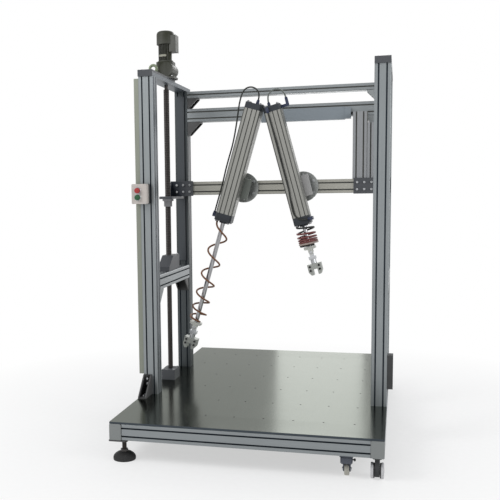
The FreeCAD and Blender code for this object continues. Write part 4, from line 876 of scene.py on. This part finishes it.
def make_motor():
    """The finned motor, its fan cover, terminal box, rating plate and lifting eye."""
    mesh = bmesh.new()
    add_lathe(mesh, mm(MOTOR), at(MOTOR_X, 0, MOTOR_BASE), 48)

    # Fins all round apart from the terminal box's side
    for angle in range(60, 311, 12):
        turn = Matrix.Rotation(math.radians(angle), 4, "Z")
        add_block(mesh, (0.0058, 0.0016, 0.092),
                  at(MOTOR_X, 0, MOTOR_BASE + 56) @ turn @ at(38.4, 0, 0), 0.0004)
    body = finish_piece("motor_housing", mesh, "motor_paint", "frame", smooth=True)
    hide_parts("motor_body")
    mesh = bmesh.new()
    box_level = MOTOR_BASE + 100
    add_block(mesh, (0.040, 0.066, 0.094), at(-562, 0, box_level), 0.003)
    add_block(mesh, (0.003, 0.068, 0.096), at(-543, 0, box_level), 0.0008)
    for z in (-38, 38):
        for y in (-28, 28):
            add_lathe(mesh, mm(SMALL_SCREW), at(-541.9, y, box_level + z) @ SIDEWAYS, 12)
    finish_piece("terminal_box", mesh, "motor_paint", "frame", smooth=True)
    mesh = bmesh.new()
    grooves = []
    for reach in (26, 20, 14):
        grooves += [(reach, 62), (reach, 59.5), (reach - 2.6, 59.5), (reach - 2.6, 62)]
    add_lathe(mesh, mm([*SHROUD, *grooves, *SHROUD_MIDDLE]), at(MOTOR_X, 0, 2162), 48)
    cover = finish_piece("fan_shroud", mesh, "motor_paint", "frame", smooth=True)
    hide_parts("fan_cover")

    # A plate bent round the fins, in narrow strips
    mesh = bmesh.new()
    for step in range(7):
        turn = Matrix.Rotation(math.radians(-128 + 9 * step), 4, "Z")
        add_block(mesh, (0.0016, 0.0070, 0.012),
                  at(MOTOR_X, 0, MOTOR_BASE + 34) @ turn @ at(42.4, 0, 0), 0.0004)
    finish_piece("bare_rating_plate", mesh, "motor_plate", "frame", smooth=True)
    mesh = bmesh.new()
    add_ring(mesh, at(MOTOR_X, -250, PLATE_TOP + 25) @ FACING, 0.019, 0.0075)
    add_lathe(mesh, mm(EYE_FOOT), at(MOTOR_X, -250, PLATE_TOP), 28)
    eye = finish_piece("eye_bolt", mesh, "eye_paint", "frame", smooth=True)
    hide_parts("lifting_eye")


def make_controls():
    """Domed push buttons in their bezels."""
    for name, z, material in (("stop_button", 1318, "red_plastic"),
                              ("start_button", 1282, "green_plastic")):
        place = at(BUTTON_X, COVER_FRONT, z) @ FACING
        mesh = bmesh.new()
        add_lathe(mesh, mm(BUTTON), place, 32)
        cap = finish_piece(f"{name}_cap", mesh, material, name, smooth=True)
        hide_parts(name)
        mesh = bmesh.new()
        add_lathe(mesh, mm(BEZEL), place, 32)
        finish_piece(f"{name}_bezel", mesh, "bolt_steel", "frame", smooth=True)


def make_corner_wheels(row, sign):
    """A twin wheel with pale rims."""
    wheel = f"{row}_corner_caster_wheel"
    trail = CASTER_ROW * sign + CORNER_TRAIL * sign
    for hand, turn in (("inner", SIDEWAYS.inverted()), ("outer", SIDEWAYS)):
        own = at(618, trail, 37) @ turn
        mesh = bmesh.new()
        add_lathe(mesh, mm(TYRE), own, 48)
        tyre = finish_piece(f"{row}_caster_tyre_{hand}", mesh, "fender_white", wheel,
                            smooth=True)
        mesh = bmesh.new()
        add_lathe(mesh, mm(HUB), own, 48)
        finish_piece(f"{row}_caster_hub_{hand}", mesh, "wheel_rubber", wheel, smooth=True)
    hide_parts(wheel)


def make_inner_caster(row, sign):
    """A nylon roller with its axle nuts, hood and brake knob."""
    fork = f"{row}_inner_caster_fork"
    wheel = f"{row}_inner_caster_wheel"
    trail = (CASTER_ROW + ROLLER_TRAIL) * sign
    mesh = bmesh.new()
    add_lathe(mesh, mm(ROLLER), at(ROLLER_X, trail, ROLLER_RADIUS) @ SIDEWAYS, 40)
    roller = finish_piece(f"{row}_nylon_roller", mesh, "wheel_nylon", wheel, smooth=True)
    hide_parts(wheel)
    mesh = bmesh.new()
    for reach, turn in ((-17, SIDEWAYS.inverted()), (17, SIDEWAYS)):
        add_lathe(mesh, mm(AXLE_NUT), at(ROLLER_X + reach, trail, ROLLER_RADIUS) @ turn, 6)
    finish_piece(f"{row}_axle_nuts", mesh, "bolt_steel", fork)
    mesh = bmesh.new()
    add_block(mesh, (0.054, 0.048, 0.034), at(ROLLER_X, CASTER_ROW * sign, 84.5), 0.004)
    finish_piece(f"{row}_bracket_hood", mesh, "caster_bracket", fork, smooth=True)
    mesh = bmesh.new()
    add_lathe(mesh, mm(BRAKE_KNOB), at(ROLLER_X + 27, CASTER_ROW * sign, 84) @ SIDEWAYS, 20)
    finish_piece(f"{row}_brake_knob", mesh, "caster_plastic", fork, smooth=True)


def make_feet():
    """Domed pads, lock nuts and corner plates of the levelling feet, and the cap seams."""
    domes = bmesh.new()
    nuts = bmesh.new()
    plates = bmesh.new()
    for sign in (-1, 1):
        y = FOOT_ROW * sign
        add_lathe(domes, mm(FOOT_DOME), at(FOOT_X, y, 0), 44)
        add_lathe(nuts, mm(LOCK_NUT), at(FOOT_X, y, 0), 6)
        add_block(plates, (0.084, 0.084, 0.008), at(-613, y + 17 * sign, 106), 0.002)
    finish_piece("foot_domes", domes, "foot_rubber", "frame", smooth=True)
    finish_piece("foot_lock_nuts", nuts, "foot_steel", "frame")
    finish_piece("foot_corner_plates", plates, "black_oxide", "frame", smooth=True)
    seams = bmesh.new()
    for x in (-590, 590):
        for y in (-961.6, 961.6):
            add_block(seams, (0.0022, 0.0040, 0.080), at(x, y, 150), 0.0004)
    finish_piece("cap_seams", seams, "black_oxide", "frame")


make_hoses()
for side in SIDES:
    make_spiral(side)
make_fasteners()
make_cylinder_fasteners()
make_motor()
make_controls()
for row, sign in (("front", 1), ("back", -1)):
    make_corner_wheels(row, sign)
    make_inner_caster(row, sign)
make_feet()


def place_camera():
    """The photograph's viewpoint."""
    yaw, pitch, roll = 0.272745, 0.108361, 0.015255
    right = Vector((math.cos(yaw), math.sin(yaw), 0))
    down = Vector((0, 0, -1))
    ahead = Vector((-math.sin(yaw), math.cos(yaw), 0))
    lowered = down * math.cos(pitch) - ahead * math.sin(pitch)
    forward = ahead * math.cos(pitch) + down * math.sin(pitch)
    across = right * math.cos(roll) + lowered * math.sin(roll)
    lowered = lowered * math.cos(roll) - right * math.sin(roll)
    turn = Matrix((across, -lowered, -forward)).transposed().to_4x4()
    data = bpy.data.cameras.new("Camera")
    data.sensor_width = 36
    data.sensor_fit = "HORIZONTAL"
    data.lens = 57.674
    data.shift_x = 0.15
    data.shift_y = 0.06
    data.clip_end = 100
    camera = bpy.data.objects.new("Camera", data)
    camera.matrix_world = Matrix.Translation((0.69449, -4.53742, 1.30326)) @ turn
    bpy.context.scene.collection.objects.link(camera)
    bpy.context.scene.camera = camera


place_camera()
bpy.context.scene.view_settings.view_transform = "Standard"


def make_world():
    """An even studio: white where it is seen or mirrored, softer where it lights."""
    world = bpy.data.worlds.new("Studio")
    bpy.context.scene.world = world
    world.use_nodes = True
    tree = world.node_tree
    tree.nodes.clear()
    output = tree.nodes.new("ShaderNodeOutputWorld")
    mixer = tree.nodes.new("ShaderNodeMixShader")
    soft = tree.nodes.new("ShaderNodeBackground")
    white = tree.nodes.new("ShaderNodeBackground")
    path = tree.nodes.new("ShaderNodeLightPath")
    seen = tree.nodes.new("ShaderNodeMath")
    seen.operation = "MAXIMUM"
    through = tree.nodes.new("ShaderNodeMath")
    through.operation = "MAXIMUM"
    soft.inputs["Color"].default_value = (0.95, 0.97, 1.0, 1)
    soft.inputs["Strength"].default_value = 0.42
    white.inputs["Color"].default_value = (1, 1, 1, 1)
    white.inputs["Strength"].default_value = 1.0
    tree.links.new(path.outputs["Is Camera Ray"], seen.inputs[0])
    tree.links.new(path.outputs["Is Glossy Ray"], seen.inputs[1])
    tree.links.new(seen.outputs[0], through.inputs[0])
    tree.links.new(path.outputs["Is Transmission Ray"], through.inputs[1])
    tree.links.new(through.outputs[0], mixer.inputs[0])
    tree.links.new(soft.outputs[0], mixer.inputs[1])
    tree.links.new(white.outputs[0], mixer.inputs[2])
    tree.links.new(mixer.outputs[0], output.inputs["Surface"])


def add_area(name, spot, target, size, power):
    """A rectangular lamp that shines at a target and stays out of the picture."""
    data = bpy.data.lights.new(name, "AREA")
    data.shape = "RECTANGLE"
    data.size, data.size_y = size
    data.energy = power
    light = bpy.data.objects.new(name, data)
    light.location = spot
    light.visible_camera = False
    light.rotation_euler = (Vector(target) - Vector(spot)).to_track_quat("-Z", "Y").to_euler()
    bpy.context.scene.collection.objects.link(light)


# The floor lies just below the feet, and fades to white between two distances in metres
FLOOR_LEVEL = -0.0005
FADE_START = 0.9
FADE_END = 2.4
GLOW_START = 0.55


def make_floor():
    """A pale floor that fades into the white around it."""
    mesh = bmesh.new()
    bmesh.ops.create_grid(mesh, x_segments=8, y_segments=8, size=30)
    data = bpy.data.meshes.new("floor")
    mesh.to_mesh(data)
    mesh.free()
    floor = bpy.data.objects.new("floor", data)
    floor.location = (0, 0, FLOOR_LEVEL)
    bpy.context.scene.collection.objects.link(floor)
    s = Shader("floor_pale")
    grain = s.noise((30, 30, 30), 3.0, 0.5)
    s.join(s.mix(s.spread(grain, 0.3, 0.7, 0, 1), (0.80, 0.80, 0.80), (0.84, 0.84, 0.84)),
           s.surface.inputs["Base Color"])
    s.surface.inputs["Roughness"].default_value = 0.7
    glow = s.node("ShaderNodeEmission")
    glow.inputs["Color"].default_value = (1, 1, 1, 1)
    glow.inputs["Strength"].default_value = 1.0
    where = s.node("ShaderNodeTexCoord")
    length = s.node("ShaderNodeVectorMath", operation="LENGTH")
    s.join(where.outputs["Object"], length.inputs[0])
    blend = s.node("ShaderNodeMixShader")
    s.join(s.spread(length.outputs["Value"], FADE_START, FADE_END, GLOW_START, 1.0),
           blend.inputs[0])
    s.join(s.surface.outputs["BSDF"], blend.inputs[1])
    s.join(glow.outputs["Emission"], blend.inputs[2])
    s.join(blend.outputs["Shader"], s.output.inputs["Surface"])
    floor.data.materials.append(s.material)


make_world()
add_area("key", (-3.5, -3.2, 4.2), (0, 0, 1.0), (2.5, 2.5), 150)
add_area("fill", (4.0, -2.0, 2.6), (0, 0, 1.0), (2.5, 2.5), 75)
add_area("rim", (0.5, 3.5, 3.8), (0, 0, 1.2), (3.0, 2.0), 60)
add_area("window", (-0.12, 4.2, 1.5), (0.2, -0.4, 0.2), (0.95, 1.7), 9)
make_floor()
